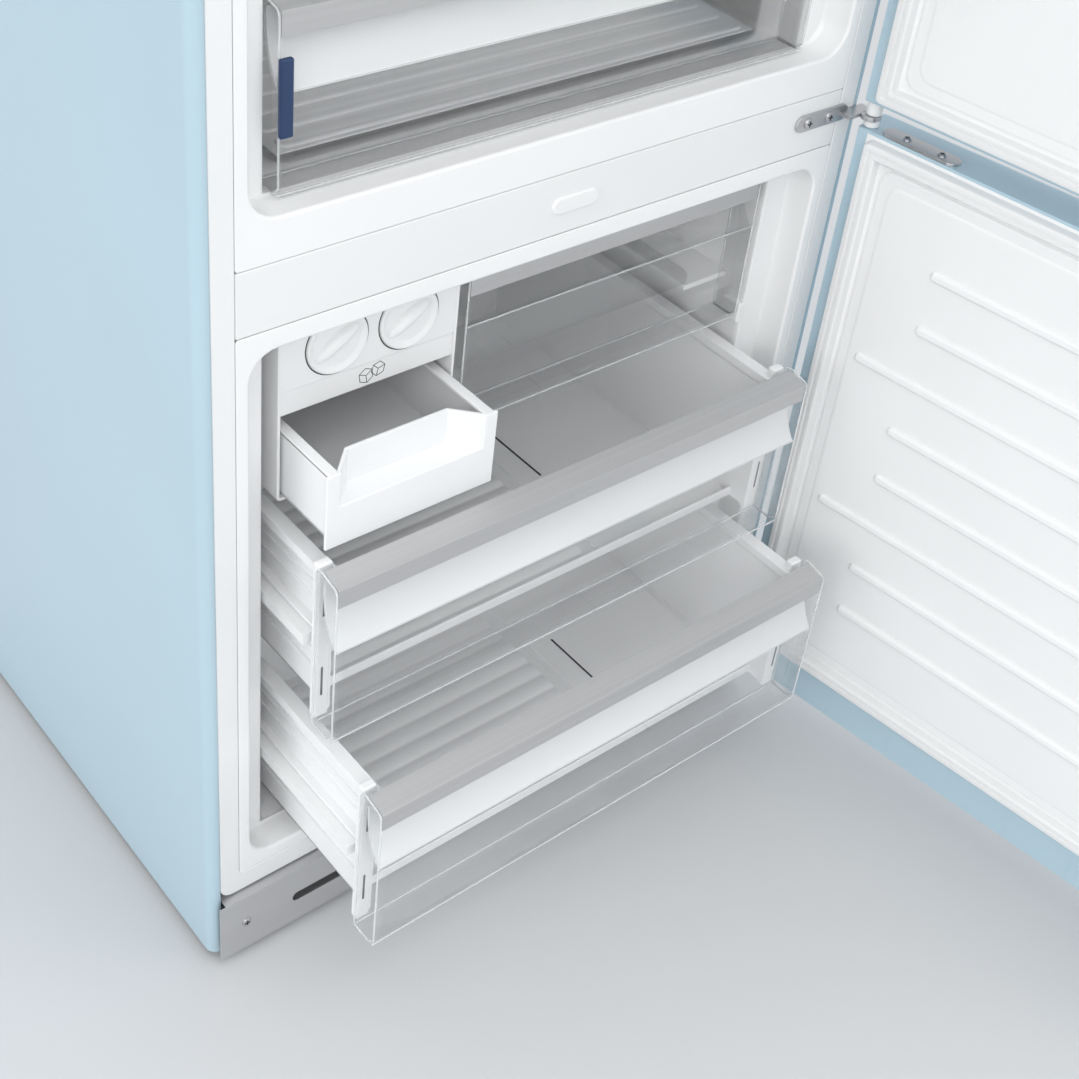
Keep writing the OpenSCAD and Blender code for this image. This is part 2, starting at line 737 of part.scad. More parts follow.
module flap_panel() color(clear) from_front() translate([0, flap_y, flap_zf]) {
    clear_front(flap_x0, flap_x1, flap_h, flap_h - 50);
    rod_x(8, 4.5, 3, flap_x0 - 5, flap_x0 + 1);
    rod_x(8, 4.5, 3, flap_x1 - 1, flap_x1 + 5);
}
module flap_strip() color(grey) from_front() translate([0, flap_y, flap_zf])
    strip(flap_x0, flap_x1, flap_h);

// ---------- crisper ----------

module crisper_tub() color(clear) from_front() translate([0, crisper_y, crisper_zf]) {
    tub([-tub_x, front_d, 4], [tub_x, front_d + crisper_d, crisper_h - 10], tub_t);
    both_sides() box([tub_x - e, front_d + 20, 96.3], [tub_x + 12, front_d + crisper_d - 20, 102]);
}
module crisper_front() color(clear) from_front() translate([0, crisper_y, crisper_zf])
    clear_front(-front_x, front_x, crisper_h, flat_h - 25);
module crisper_strip() color(grey) from_front() translate([0, crisper_y, crisper_zf])
    strip(-front_x, front_x, crisper_h);
module humidity_slider() color([0.1, 0.2, 0.45]) from_front()
    translate([-front_x, crisper_y, crisper_zf])
        box([0, -5, 48], [11, -0.3, 108]);

// ---------- doors ----------

// The outline of a closed door, made smaller by t except at its back.
module door_block(z0, z1, t) {
    x = door_w / 2 - t;
    y = door_front + t;
    r = door_r - t;
    intersection() {
        translate([0, y + crown_r, z0 + t]) cylinder(r = crown_r, h = z1 - z0 - 2 * t, $fn = 240);
        union() {
            wide(x, y + 10 + r, door_back, z0, z1);
            wide(x - r, y, door_back, z0, z1);
            both_sides() rod_z(x - r, y + 10 + r, r, z0, z1);
            both_sides() box([x - 60, y + 10, z0], [x - r, y + 10 + r, z1]);
        }
        union() {
            wide(x + 1, y + r - 4, door_back + 1, z0 + t, z1 - t);
            wide(x + 1, y - 1, door_back, z0 + t + r - 4, z1 - t - r + 4);
            for (z = [z0 + t + r - 4, z1 - t - r + 4]) rod_x(y + r - 4, z, r - 4, -x - 1, x + 1);
        }
    }
}

// The foam that fills a door, up to the back of its liner.
module door_foam(z0, z1) {
    difference() {
        door_block(z0, z1, skin_t);
        wide(cab_w, door_back - liner_t, door_back + 1, 0, 2 * cab_h);
        pin_bores(z0, z1);
    }
}

// Bores for the hinge pins at both ends of a door.
module pin_bores(z0, z1) {
    rod_z(pivot_x, pivot_y, pin_d / 2 + pin_gap, z0 - 1, z0 + 23);
    rod_z(pivot_x, pivot_y, pin_d / 2 + pin_gap, z1 - 23, z1 + 1);
}

module door_skin(z0, z1) {
    difference() {
        door_block(z0, z1, 0);
        intersection() {
            door_block(z0, z1, skin_t);
            wide(cab_w, -cab_d, door_back - skin_t, 0, 2 * cab_h);
        }
        wide(door_w / 2 - 12, door_back - liner_t, door_back + 1, z0 + 12, z1 - 12);
        pin_bores(z0, z1);
    }
}

// The door liner, with a low raised panel between two heights.
module door_liner(z0, z1, panel_z0, panel_z1) {
    wide(door_w / 2 - 12, door_back - liner_t, door_back, z0 + 12, z1 - 12);
    wide(panel_x, door_back - e, door_back + 2, panel_z0, panel_z1);
    children();
}

// The magnetic seal, a ring on the back of a door.
module gasket(z0, z1) {
    difference() {
        wide(gasket_x, door_back, -1.5, z0, z1);
        wide(gasket_x - gasket_w, door_back - 1, 0, z0 + gasket_w, z1 - gasket_w);
    }
}

// A bar handle on two posts.
module handle(x0, x1, z) {
    y = door_front - 32;
    rod_x(y, z, 9, x0, x1);
    for (x = [x0 + 22, x1 - 22]) {
        rod_y(x, z, 7, y, door_front + 4);
        rod_y(x, z, 13, door_front - 2, door_front + 7);
    }
}

module upper_door_skin() color(blue) from_front() opened()
    door_skin(upper_door_z0, upper_door_z1);
module upper_door_foam() color([0.9, 0.85, 0.7]) from_front() opened()
    door_foam(upper_door_z0, upper_door_z1);
module upper_door_liner() color(white) from_front() opened()
    door_liner(upper_door_z0, upper_door_z1, upper_z0 + 21, upper_z1 - 6) {
        for (s = [-1, 1])
            box([s * bin_x - 6, door_back, shelf_z0 + 20], [s * bin_x + 6, 20, fridge_top - 60]);
    }
module upper_door_gasket() color(white) from_front() opened()
    gasket(upper_z0 - 1, top_z - 4);
module upper_door_handle() color(grey) from_front() opened() difference() {
    handle(-320, -140, upper_door_z0 + 80);
    door_block(upper_door_z0, upper_door_z1, 0);
}
module upper_door_bins() color(clear) from_front() opened()
    for (i = [0:2]) tub([-bin_x + 6.3, door_back + 2.3, shelf_z0 + 30 + i * 285],
                        [bin_x - 6.3, door_bin_d, shelf_z0 + 115 + i * 285], tub_t);

module lower_door_skin() color(blue) from_front() opened() door_skin(door_z, split_z);
module lower_door_foam() color([0.9, 0.85, 0.7]) from_front() opened()
    door_foam(door_z, split_z);
module lower_door_liner() color(white) from_front() opened()
    door_liner(door_z, split_z, lower_z0 + 30, mid_z - 9) {
        for (i = [0:7])
            translate([0, 0, door_z + 149 + i * rib_pitch])
                box([-panel_x + 60, door_back, 0],
                    [pivot_x - (i % 3 == 2 ? 50 : 105), door_back + relief_h, 8]);
    }
module lower_door_gasket() color(white) from_front() opened()
    gasket(lower_z0 - 4, mid_z + gasket_w + 0.5);
module lower_door_handle() color(grey) from_front() opened() difference() {
    handle(-320, -140, split_z - 80);
    door_block(door_z, split_z, 0);
}
module door_stop() color(grey) from_front() opened() difference() {
    union() {
        box([pivot_x - 88, pivot_y - 10, split_z], [pivot_x - 10, pivot_y + 9, split_z + 3]);
        rod_z(pivot_x - 88, pivot_y - 0.5, 9.5, split_z, split_z + 3);
        for (x = [40, 78]) rod_z(pivot_x - x, pivot_y, 4, split_z + 3, split_z + 5);
    }
    rod_z(pivot_x, pivot_y, 13, split_z - 1, split_z + 6);
    for (x = [40, 78]) translate([pivot_x - x, pivot_y, split_z + 4]) {
        box([-2.5, -0.5, 0], [2.5, 0.5, 2]);
        box([-0.5, -2.5, 0], [0.5, 2.5, 2]);
    }
}

// ---------- assembly ----------

outer_shell();
back_panel();
base_chassis();
insulation();
front_frame();
mid_rail();
mid_rail_cap();
fridge_liner();
freezer_liner();
kick_plate();
fixing_screws();
front_feet();
rear_rollers();
compressor();
condenser();
evaporator();
evaporator_cover();
fan_rotor();
drain_tray();
cable_gland();
top_hinge();
mid_hinge();
bottom_hinge();
hinge_bushes();
control_panel();
control_dial();
glass_shelves();
ice_module();
left_knob();
right_knob();
left_ice_tray();
right_ice_tray();
ice_runners();
ice_bin();
flap_panel();
flap_strip();
crisper_tub();
crisper_front();
crisper_strip();
humidity_slider();
middle_runners();
middle_tub();
middle_front();
middle_strip();
lower_runners();
lower_tub();
lower_front();
lower_strip();
upper_door_skin();
upper_door_foam();
upper_door_liner();
upper_door_gasket();
upper_door_handle();
upper_door_bins();
lower_door_skin();
lower_door_foam();
lower_door_liner();
lower_door_gasket();
lower_door_handle();
door_stop();
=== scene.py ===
"""Looks of a bottom freezer refrigerator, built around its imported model."""

import json
import logging
import math
from dataclasses import dataclass, field
from enum import Enum
from typing import Optional, Sequence

import bmesh
import bpy
from mathutils import Matrix, Vector


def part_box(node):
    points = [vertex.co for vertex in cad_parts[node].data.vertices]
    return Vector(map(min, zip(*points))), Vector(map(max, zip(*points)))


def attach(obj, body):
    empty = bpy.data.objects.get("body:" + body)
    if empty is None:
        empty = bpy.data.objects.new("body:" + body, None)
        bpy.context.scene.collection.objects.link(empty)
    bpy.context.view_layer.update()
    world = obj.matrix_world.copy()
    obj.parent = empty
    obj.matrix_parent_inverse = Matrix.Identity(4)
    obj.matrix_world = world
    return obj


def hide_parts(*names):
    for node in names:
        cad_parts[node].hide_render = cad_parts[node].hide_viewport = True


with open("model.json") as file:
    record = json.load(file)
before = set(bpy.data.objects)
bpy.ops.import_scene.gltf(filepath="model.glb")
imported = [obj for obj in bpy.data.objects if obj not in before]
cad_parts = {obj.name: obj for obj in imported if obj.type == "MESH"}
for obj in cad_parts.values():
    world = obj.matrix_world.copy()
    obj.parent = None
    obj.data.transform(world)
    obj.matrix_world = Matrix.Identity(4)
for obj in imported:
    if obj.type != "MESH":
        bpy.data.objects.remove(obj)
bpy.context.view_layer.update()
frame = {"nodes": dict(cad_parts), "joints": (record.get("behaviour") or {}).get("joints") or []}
LOG = logging.getLogger("refrigerator")
MM = 0.001
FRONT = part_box("front_frame")[0].y / MM
ROOM_INSET = 43.0
SHARP_ANGLE = math.radians(32)
COAT_ROUGHNESS = 0.15

Pair = tuple[float, float]
Triple = tuple[float, float, float]


class Level(Enum):
    """Where a door or a freezer drawer sits."""

    LOWER = "lower"
    MIDDLE = "middle"
    UPPER = "upper"


class Side(Enum):
    """Which half of the ice maker a knob turns."""

    LEFT = "left"
    RIGHT = "right"


# ---------- finishes ----------


class Grain(Enum):
    """How the surface of a finish is broken up."""

    MOULDED = "moulded"
    SPRAYED = "sprayed"
    BRUSHED = "brushed"
    CAST = "cast"
    CLEAR = "clear"
    POLISHED = "polished"


@dataclass(frozen=True)
class GrainSize:
    """A grain: noise scale on each axis, bump strength, bump depth in metres, and the broad drift under it."""

    scale: Triple
    strength: float
    depth: float
    drift_scale: Triple = (5.0, 5.0, 5.0)
    drift_detail: float = 2.0


GRAINS = {
    Grain.MOULDED: GrainSize((420, 420, 420), 0.10, 0.00008),
    Grain.SPRAYED: GrainSize((260, 260, 260), 0.06, 0.00010),
    Grain.BRUSHED: GrainSize((3.0, 1400, 1400), 0.22, 0.00006, (0.8, 260.0, 260.0), 4.0),
    Grain.CAST: GrainSize((900, 900, 900), 0.45, 0.00020),
    Grain.CLEAR: GrainSize((30, 30, 30), 0.04, 0.00010),
    Grain.POLISHED: GrainSize((700, 700, 700), 0.04, 0.00004),
}


@dataclass(frozen=True)
class Finish:
    """One finish: its colour, how it takes light, and its grain."""

    slot: str
    colour: Triple
    roughness: float
    variant: str = ""
    grain: Grain = Grain.MOULDED
    metallic: float = 0.0
    drift: float = 0.03
    transmission: float = 0.0
    alpha: float = 1.0
    ior: float = 1.5
    coat: float = 0.0

    def material(self) -> bpy.types.Material:
        """Makes the node material of this finish, once.

        Returns:
            The material.
        """
        name = "finish_" + self.slot + self.variant
        found = bpy.data.materials.get(name)
        if found:
            return found
        mat = bpy.data.materials.new(name)
        mat.use_nodes = True
        tree = mat.node_tree
        nodes, links = tree.nodes, tree.links
        shader = nodes["Principled BSDF"]
        shader.inputs["Metallic"].default_value = self.metallic
        shader.inputs["IOR"].default_value = self.ior
        shader.inputs["Transmission Weight"].default_value = self.transmission
        shader.inputs["Alpha"].default_value = self.alpha
        shader.inputs["Coat Weight"].default_value = self.coat
        shader.inputs["Coat Roughness"].default_value = COAT_ROUGHNESS
        size = GRAINS[self.grain]
        coords = nodes.new("ShaderNodeTexCoord")
        fine = self._noise(tree, coords, size.scale, 3.0)
        broad = self._noise(tree, coords, size.drift_scale, size.drift_detail)
        bump = nodes.new("ShaderNodeBump")
        bump.inputs["Strength"].default_value = size.strength
        bump.inputs["Distance"].default_value = size.depth
        links.new(fine, bump.inputs["Height"])
        links.new(bump.outputs["Normal"], shader.inputs["Normal"])
        ramp = nodes.new("ShaderNodeValToRGB")
        for stop, position, share in zip(ramp.color_ramp.elements, (0.3, 0.7), (1 - self.drift, 1 + self.drift)):
            stop.position = position
            stop.color = (*[min(1, c * share) for c in self.colour], 1)
        links.new(broad, ramp.inputs["Fac"])
        links.new(ramp.outputs["Color"], shader.inputs["Base Color"])
        rough = nodes.new("ShaderNodeMapRange")
        rough.inputs["To Min"].default_value = max(0.01, self.roughness * 0.85)
        rough.inputs["To Max"].default_value = min(1.0, self.roughness * 1.15)
        links.new(broad, rough.inputs["Value"])
        links.new(rough.outputs["Result"], shader.inputs["Roughness"])
        return mat

    @staticmethod
    def _noise(tree: bpy.types.NodeTree, coords: bpy.types.Node, scale: Triple,
               detail: float) -> bpy.types.NodeSocket:
        """Adds a noise on object coordinates.

        Args:
            tree: the material's nodes.
            coords: the texture coordinate node.
            scale: the scale along each axis.
            detail: the octaves of the noise.

        Returns:
            The noise's output.
        """
        mapping = tree.nodes.new("ShaderNodeMapping")
        mapping.inputs["Scale"].default_value = scale
        noise = tree.nodes.new("ShaderNodeTexNoise")
        noise.inputs["Scale"].default_value = 1.0
        noise.inputs["Detail"].default_value = detail
        tree.links.new(coords.outputs["Object"], mapping.inputs["Vector"])
        tree.links.new(mapping.outputs["Vector"], noise.inputs["Vector"])
        return noise.outputs["Fac"]


BLUE_ENAMEL = Finish("blue_enamel", (0.45, 0.60, 0.685), 0.3, grain=Grain.SPRAYED, coat=0.3, drift=0.015)
WHITE_FRAME = Finish("white_frame", (0.83, 0.84, 0.84), 0.42, drift=0.01)
WHITE_LINER = Finish("white_liner", (0.88, 0.885, 0.885), 0.36, drift=0.012)
WHITE_MOULDING = Finish("white_moulding", (0.86, 0.865, 0.865), 0.33, drift=0.01)
WHITE_SEAL = Finish("white_seal", (0.82, 0.825, 0.825), 0.6, drift=0.02)
TUB_WHITE = Finish("tub_white", (0.88, 0.885, 0.89), 0.34, drift=0.01)
# painted highlight: a whiter, less clear finish for rods along the clear sheets' edges, standing in for the light
# caught on them
CLEAR_EDGE_HIGHLIGHT = Finish("clear_plastic", (0.93, 0.95, 0.96), 0.2, "_edge", grain=Grain.CLEAR, drift=0.01,
                    transmission=0.3, alpha=0.62)
CLEAR_FROSTED = Finish("clear_plastic", (0.90, 0.91, 0.915), 0.25, "_frosted", grain=Grain.CLEAR, drift=0.01,
                       transmission=0.1, alpha=0.8)
CLEAR_PLASTIC = Finish("clear_plastic", (0.96, 0.97, 0.975), 0.05, grain=Grain.CLEAR, drift=0.01,
                       transmission=1.0, alpha=0.11)
SHELF_GLASS = Finish("shelf_glass", (0.93, 0.97, 0.965), 0.03, grain=Grain.CLEAR, drift=0.01,
                     transmission=1.0, alpha=0.16)
BRUSHED_STRIP = Finish("brushed_strip", (0.53, 0.53, 0.535), 0.5, grain=Grain.BRUSHED, metallic=0.55, drift=0.05)
HINGE_STEEL = Finish("hinge_steel", (0.55, 0.55, 0.56), 0.3, grain=Grain.POLISHED, metallic=1.0)
KICK_GREY = Finish("kick_grey", (0.58, 0.58, 0.59), 0.42, grain=Grain.BRUSHED, metallic=0.75, drift=0.03)
HANDLE_METAL = Finish("handle_metal", (0.72, 0.73, 0.74), 0.18, grain=Grain.POLISHED, metallic=1.0, drift=0.01)
GALVANISED = Finish("galvanised", (0.42, 0.44, 0.45), 0.5, grain=Grain.CAST, metallic=0.7, drift=0.12)
FOAM = Finish("foam", (0.78, 0.68, 0.42), 0.9, grain=Grain.CAST, drift=0.08)
# black paint of the compressor and condenser; also painted shade in the screws' cross recesses
BLACK_PAINT_AND_SHADE = Finish("black_paint", (0.02, 0.02, 0.022), 0.4, grain=Grain.SPRAYED, drift=0.1)
BLACK_RUBBER = Finish("black_rubber", (0.025, 0.025, 0.025), 0.8, grain=Grain.CAST, drift=0.1)
# dark plastic of the melt tray, fan rotor, rollers and cube print; also painted shade in the tub slots and the
# gaps around the knobs
DARK_PLASTIC_AND_SHADE = Finish("dark_plastic", (0.04, 0.04, 0.045), 0.55, drift=0.08)
SLIDER_BLUE = Finish("slider_blue", (0.012, 0.04, 0.12), 0.35, drift=0.03)
EVAPORATOR_METAL = Finish("evaporator_metal", (0.6, 0.61, 0.62), 0.35, grain=Grain.BRUSHED, metallic=1.0)


# ---------- mesh making ----------


class Across(Enum):
    """An axis that rings stand across, with the two axes of their plane."""

    X = (0, 1, 2)
    Y = (1, 0, 2)
    Z = (2, 0, 1)


@dataclass(frozen=True)
class Ring:
    """A rounded rectangle across an axis, in millimetres."""

    at: float
    low: Pair
    high: Pair
    radius: float = 0.5

    def __post_init__(self) -> None:
        """Keeps the corner radius inside the rectangle."""
        widest = 0.499 * min(self.high[0] - self.low[0], self.high[1] - self.low[1])
        object.__setattr__(self, "radius", min(self.radius, widest))

    def moved(self, at: float, inset: float = 0.0, radius: Optional[float] = None) -> "Ring":
        """Returns this ring at another place along the axis, made smaller by an inset.

        Args:
            at: the place along the axis.
            inset: what is taken off every side.
            radius: the corner radius, or None to take the inset off the old one.

        Returns:
            The new ring.
        """
        low = (self.low[0] + inset, self.low[1] + inset)
        high = (self.high[0] - inset, self.high[1] - inset)
        return Ring(at, low, high, max(0.2, self.radius - inset) if radius is None else radius)

    def through(self, base: float, stations: Sequence[Pair]) -> list["Ring"]:
        """Returns this ring at each (distance from base, inset)."""
        return [self.moved(base + away, inset) for away, inset in stations]


class Shape:
    """A mesh in the making, in millimetres in the shared frame."""

    def __init__(self) -> None:
        """Starts an empty mesh."""
        self.bm = bmesh.new()

    def box(self, low: Sequence[float], high: Sequence[float], bevel: float = 0.8, steps: int = 2) -> "Shape":
        """Adds a box between two corners with rounded edges.

        Args:
            low: the lowest corner.
            high: the highest corner.
            bevel: the width of the rounding.
            steps: the parts of the rounding.

        Returns:
            This shape.
        """
        low, high = Vector(low), Vector(high)
        made = bmesh.ops.create_cube(self.bm, size=1.0)["verts"]
        bmesh.ops.scale(self.bm, vec=high - low, verts=made)
        bmesh.ops.translate(self.bm, vec=(low + high) / 2, verts=made)
        bevel = min(bevel, 0.45 * min(abs(c) for c in high - low))
        if bevel > 0:
            edges = list({e for v in made for e in v.link_edges})
            self.soften(edges, bevel, steps)
        return self

    def soften(self, geom: Sequence, width: float, steps: int, affect: str = "EDGES") -> None:
        """Rounds edges, or the corners of a flat outline."""
        bmesh.ops.bevel(self.bm, geom=geom, offset=width, segments=steps, profile=0.5, affect=affect, material=-1)

    def parts(self) -> list:
        """Returns every vertex, edge and face."""
        return [*self.bm.verts, *self.bm.edges, *self.bm.faces]

    def _ring_face(self, axis: Across, ring: Ring, steps: int) -> bmesh.types.BMFace:
        """Adds one ring as a face.

        Args:
            axis: the axis that the ring stands across.
            ring: the ring.
            steps: the parts of each rounded corner.

        Returns:
            The face.
        """
        before = set(self.bm.faces)
        made = bmesh.ops.create_grid(self.bm, x_segments=1, y_segments=1, size=0.5)["verts"]
        along, first, second = axis.value
        for vert in made:
            place = [0.0, 0.0, 0.0]
            place[along] = ring.at
            place[first] = ring.high[0] if vert.co.x > 0 else ring.low[0]
            place[second] = ring.high[1] if vert.co.y > 0 else ring.low[1]
            vert.co = place
        self.soften(made, ring.radius, steps, "VERTICES")
        return next(f for f in self.bm.faces if f not in before)

    def loft(self, axis: Across, rings: Sequence[Ring], caps: tuple[bool, bool] = (True, True),
             closed: bool = False, steps: int = 4) -> "Shape":
        """Adds a skin through a row of rings.

        Args:
            axis: the axis that the rings stand across.
            rings: the rings, in order.
            caps: whether the first and the last ring are closed by a face.
            closed: whether the last ring joins the first.
            steps: the parts of each rounded corner.

        Returns:
            This shape.
        """
        face = self._ring_face(axis, rings[0], steps)
        first, edges = list(face.verts), list(face.edges)
        if closed or not caps[0]:
            bmesh.ops.delete(self.bm, geom=[face], context="FACES_ONLY")
        path = list(rings) + ([rings[0]] if closed else [])
        new = []
        for old, ring in zip(path, path[1:]):
            made = bmesh.ops.extrude_edge_only(self.bm, edges=edges)["geom"]
            new = [g for g in made if isinstance(g, bmesh.types.BMVert)]
            edges = [g for g in made if isinstance(g, bmesh.types.BMEdge)]
            for vert in new:
                self._carry(axis, vert, old, ring)
        if closed:
            bmesh.ops.remove_doubles(self.bm, verts=first + new, dist=0.01)
        elif caps[1]:
            bmesh.ops.contextual_create(self.bm, geom=edges)
        return self

    @staticmethod
    def _carry(axis: Across, vert: bmesh.types.BMVert, old: Ring, new: Ring) -> None:
        """Moves a corner point of one ring to the same point of the next.

        Args:
            axis: the axis that the rings stand across.
            vert: the point.
            old: the ring that it is on.
            new: the ring that it moves to.
        """
        along, *plane = axis.value
        vert.co[along] = new.at
        for i, way in enumerate(plane):
            high_side = vert.co[way] > (old.low[i] + old.high[i]) / 2
            start, end = (old.high[i], new.high[i]) if high_side else (old.low[i], new.low[i])
            inward = -1 if high_side else 1
            share = (vert.co[way] - (start + inward * old.radius)) / old.radius
            vert.co[way] = end + inward * new.radius + share * new.radius

    def pill(self, axis: Across, at: float, rise: float, low: Pair, high: Pair, radius: float,
             soft: float = 1.0) -> "Shape":
        """Adds a raised pad with rounded corners and a soft edge.

        Args:
            axis: the axis that it rises along.
            at: the place of its foot.
            rise: its height, with the sign of its way.
            low: its lowest corner.
            high: its highest corner.
            radius: its corner radius.
            soft: the radius of its soft edge.

        Returns:
            This shape.
        """
        base = Ring(at, low, high, radius)
        side = math.copysign(1.0, rise)
        tall = abs(rise)
        soft = min(soft, tall)
        rings = [base, base.moved(at + side * (tall - soft))]
        for turn in (30, 60, 90):
            a = math.radians(turn)
            rings.append(base.moved(at + side * (tall - soft + soft * math.sin(a)), soft * (1 - math.cos(a))))
        return self.loft(axis, rings)

    def prism(self, axis: Across, outline: Sequence[Pair], start: float, end: float,
              bevel: float = 0.0, steps: int = 2) -> "Shape":
        """Adds an outline drawn out along an axis.

        Args:
            axis: the axis.
            outline: the points of the outline.
            start: where it starts.
            end: where it ends.
            bevel: the width of the rounding of its edges.
            steps: the parts of the rounding.

        Returns:
            This shape.
        """
        along, first, second = axis.value
        verts = []
        for u, v in outline:
            place = [0.0, 0.0, 0.0]
            place[along], place[first], place[second] = start, u, v
            verts.append(self.bm.verts.new(place))
        face = self.bm.faces.new(verts)
        made = bmesh.ops.extrude_face_region(self.bm, geom=[face])["geom"]
        shift = [0.0, 0.0, 0.0]
        shift[along] = end - start
        new = [g for g in made if isinstance(g, bmesh.types.BMVert)]
        bmesh.ops.translate(self.bm, vec=shift, verts=new)
        if bevel > 0:
            edges = [e for e in {e for v in verts + new for e in v.link_edges}
                     if len(e.link_faces) == 2 and e.calc_face_angle(0) > 0.5]
            self.soften(edges, bevel, steps)
        return self

    def lathe(self, origin: Sequence[float], axis: Across, profile: Sequence[Pair], steps: int = 48) -> "Shape":
        """Adds a turned form.

        Args:
            origin: the centre.
            axis: the axis of the turning.
            profile: points of (radius, place along the axis).
            steps: the parts of a full turn.

        Returns:
            This shape.
        """
        along, first, _ = axis.value
        origin = Vector(origin)
        verts = []
        for radius, place in profile:
            at = origin.copy()
            at[along] += place
            at[first] += radius
            verts.append(self.bm.verts.new(at))
        edges = [self.bm.edges.new(pair) for pair in zip(verts, verts[1:])]
        turn = Vector((0, 0, 0))
        turn[along] = 1
        before = set(self.bm.verts) - set(verts)
        bmesh.ops.spin(self.bm, geom=verts + edges, cent=origin, axis=turn, angle=math.tau, steps=steps,
                       use_merge=True, use_duplicate=False)
        new = [v for v in self.bm.verts if v not in before]
        bmesh.ops.remove_doubles(self.bm, verts=new, dist=0.0005)
        return self

    def rod(self, start: Sequence[float], end: Sequence[float], radius: float, bevel: float = 0.0,
            steps: int = 24) -> "Shape":
        """Adds a round bar between two points.

        Args:
            start: the first point.
            end: the last point.
            radius: its radius.
            bevel: the width of the rounding of its rims.
            steps: its sides.

        Returns:
            This shape.
        """
        start, end = Vector(start), Vector(end)
        run = end - start
        turn = run.to_track_quat("Z", "Y").to_matrix().to_4x4()
        place = Matrix.Translation((start + end) / 2) @ turn
        made = bmesh.ops.create_cone(self.bm, cap_ends=True, segments=steps, radius1=radius, radius2=radius,
                                     depth=run.length, matrix=place)["verts"]
        if bevel > 0:
            rims = [e for e in {e for v in made for e in v.link_edges} if e.calc_face_angle(0) > 1.0]
            self.soften(rims, bevel, 2)
        return self

    def mirrored(self) -> "Shape":
        """Adds the same shape mirrored from left to right.

        Returns:
            This shape.
        """
        made = bmesh.ops.duplicate(self.bm, geom=self.parts())["geom"]
        bmesh.ops.scale(self.bm, vec=(-1, 1, 1), verts=[g for g in made if isinstance(g, bmesh.types.BMVert)])
        return self

    def turned(self, pivot: Sequence[float], degrees: float) -> "Shape":
        """Turns the whole shape about an upright line.

        Args:
            pivot: a point of the line.
            degrees: the angle.

        Returns:
            This shape.
        """
        bmesh.ops.rotate(self.bm, cent=Vector(pivot), matrix=Matrix.Rotation(math.radians(degrees), 3, "Z"),
                         verts=list(self.bm.verts))
        return self

    def facing(self, way: Sequence[float]) -> "Shape":
        """Turns an open skin so that its broadest face across the way faces it.

        Args:
            way: the way that it has to face.

        Returns:
            This shape.
        """
        way = Vector(way)
        bmesh.ops.recalc_face_normals(self.bm, faces=list(self.bm.faces))
        self.bm.normal_update()
        best = max(self.bm.faces, key=lambda f: f.calc_area() * abs(f.normal.dot(way)))
        if best.normal.dot(way) < 0:
            bmesh.ops.reverse_faces(self.bm, faces=list(self.bm.faces))
        return self

    def done(self, name: str, finish: Finish, body: str, replaces: Sequence[str] = (), wall: float = 0.0,
             keep_facing: bool = False) -> bpy.types.Object:
        """Makes the piece and hangs it on its body.

        Args:
            name: the piece's name.
            finish: its finish.
            body: the body that it rides on.
            replaces: the construction nodes that it stands for.
            wall: thickness in mm given to an open skin, behind its faces.
            keep_facing: whether the faces already point the right way.

        Returns:
            The new object.
        """
        if not keep_facing:
            bmesh.ops.recalc_face_normals(self.bm, faces=list(self.bm.faces))
        bmesh.ops.scale(self.bm, vec=(MM, MM, MM), verts=list(self.bm.verts))
        mesh = bpy.data.meshes.new(name)
        self.bm.to_mesh(mesh)
        self.bm.free()
        mesh.shade_smooth()
        mesh.set_sharp_from_angle(angle=SHARP_ANGLE)
        piece = bpy.data.objects.new(name, mesh)
        bpy.context.scene.collection.objects.link(piece)
        mesh.materials.append(finish.material())
        if wall > 0:
            skin = piece.modifiers.new("wall", "SOLIDIFY")
            skin.thickness = wall * MM
            skin.offset = -1.0
        even = piece.modifiers.new("even", "WEIGHTED_NORMAL")
        even.keep_sharp = True
        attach(piece, body)
        if replaces:
            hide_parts(*replaces)
        LOG.info("piece %s on %s, %d faces", name, body, len(mesh.polygons))
        return piece


def box_of(node: str) -> tuple[Vector, Vector]:
    """Returns a node's lowest and highest corners in millimetres."""
    low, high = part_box(node)
    return low / MM, high / MM


def swing_of(body: str) -> tuple[Vector, float]:
    """Returns where the hinge of a door stands, in millimetres, and how far the door is open, in degrees."""
    joint = next(j for j in frame["joints"] if j["name"] == body + "_hinge")
    return Vector(joint["pos_m"]) / MM, -joint["range_deg"][0]


def dress(node: str, finish: Finish) -> None:
    """Gives a construction node its finish.

    Args:
        node: the node's name.
        finish: the finish.
    """
    mesh = frame["nodes"][node].data
    mesh.materials.clear()
    mesh.materials.append(finish.material())
    LOG.info("node %s dressed in %s", node, finish.slot)


def curve(points: Sequence[Pair], steps: int) -> list[Pair]:
    """Draws a smooth curve from the first point to the last, pulled by the one between.

    Args:
        points: the start, the point that pulls, and the end.
        steps: the parts of the curve.

    Returns:
        The points.
    """
    (ax, ay), (bx, by), (cx, cy) = points
    out = []
    for i in range(steps + 1):
        t = i / steps
        s = 1 - t
        out.append((s * s * ax + 2 * s * t * bx + t * t * cx, s * s * ay + 2 * s * t * by + t * t * cy))
    return out


def placed(points: Sequence[Pair], corner: Vector) -> list[Pair]:
    """Returns side outline points moved to a panel's lowest corner."""
    return [(corner.y + y, corner.z + z) for y, z in points]


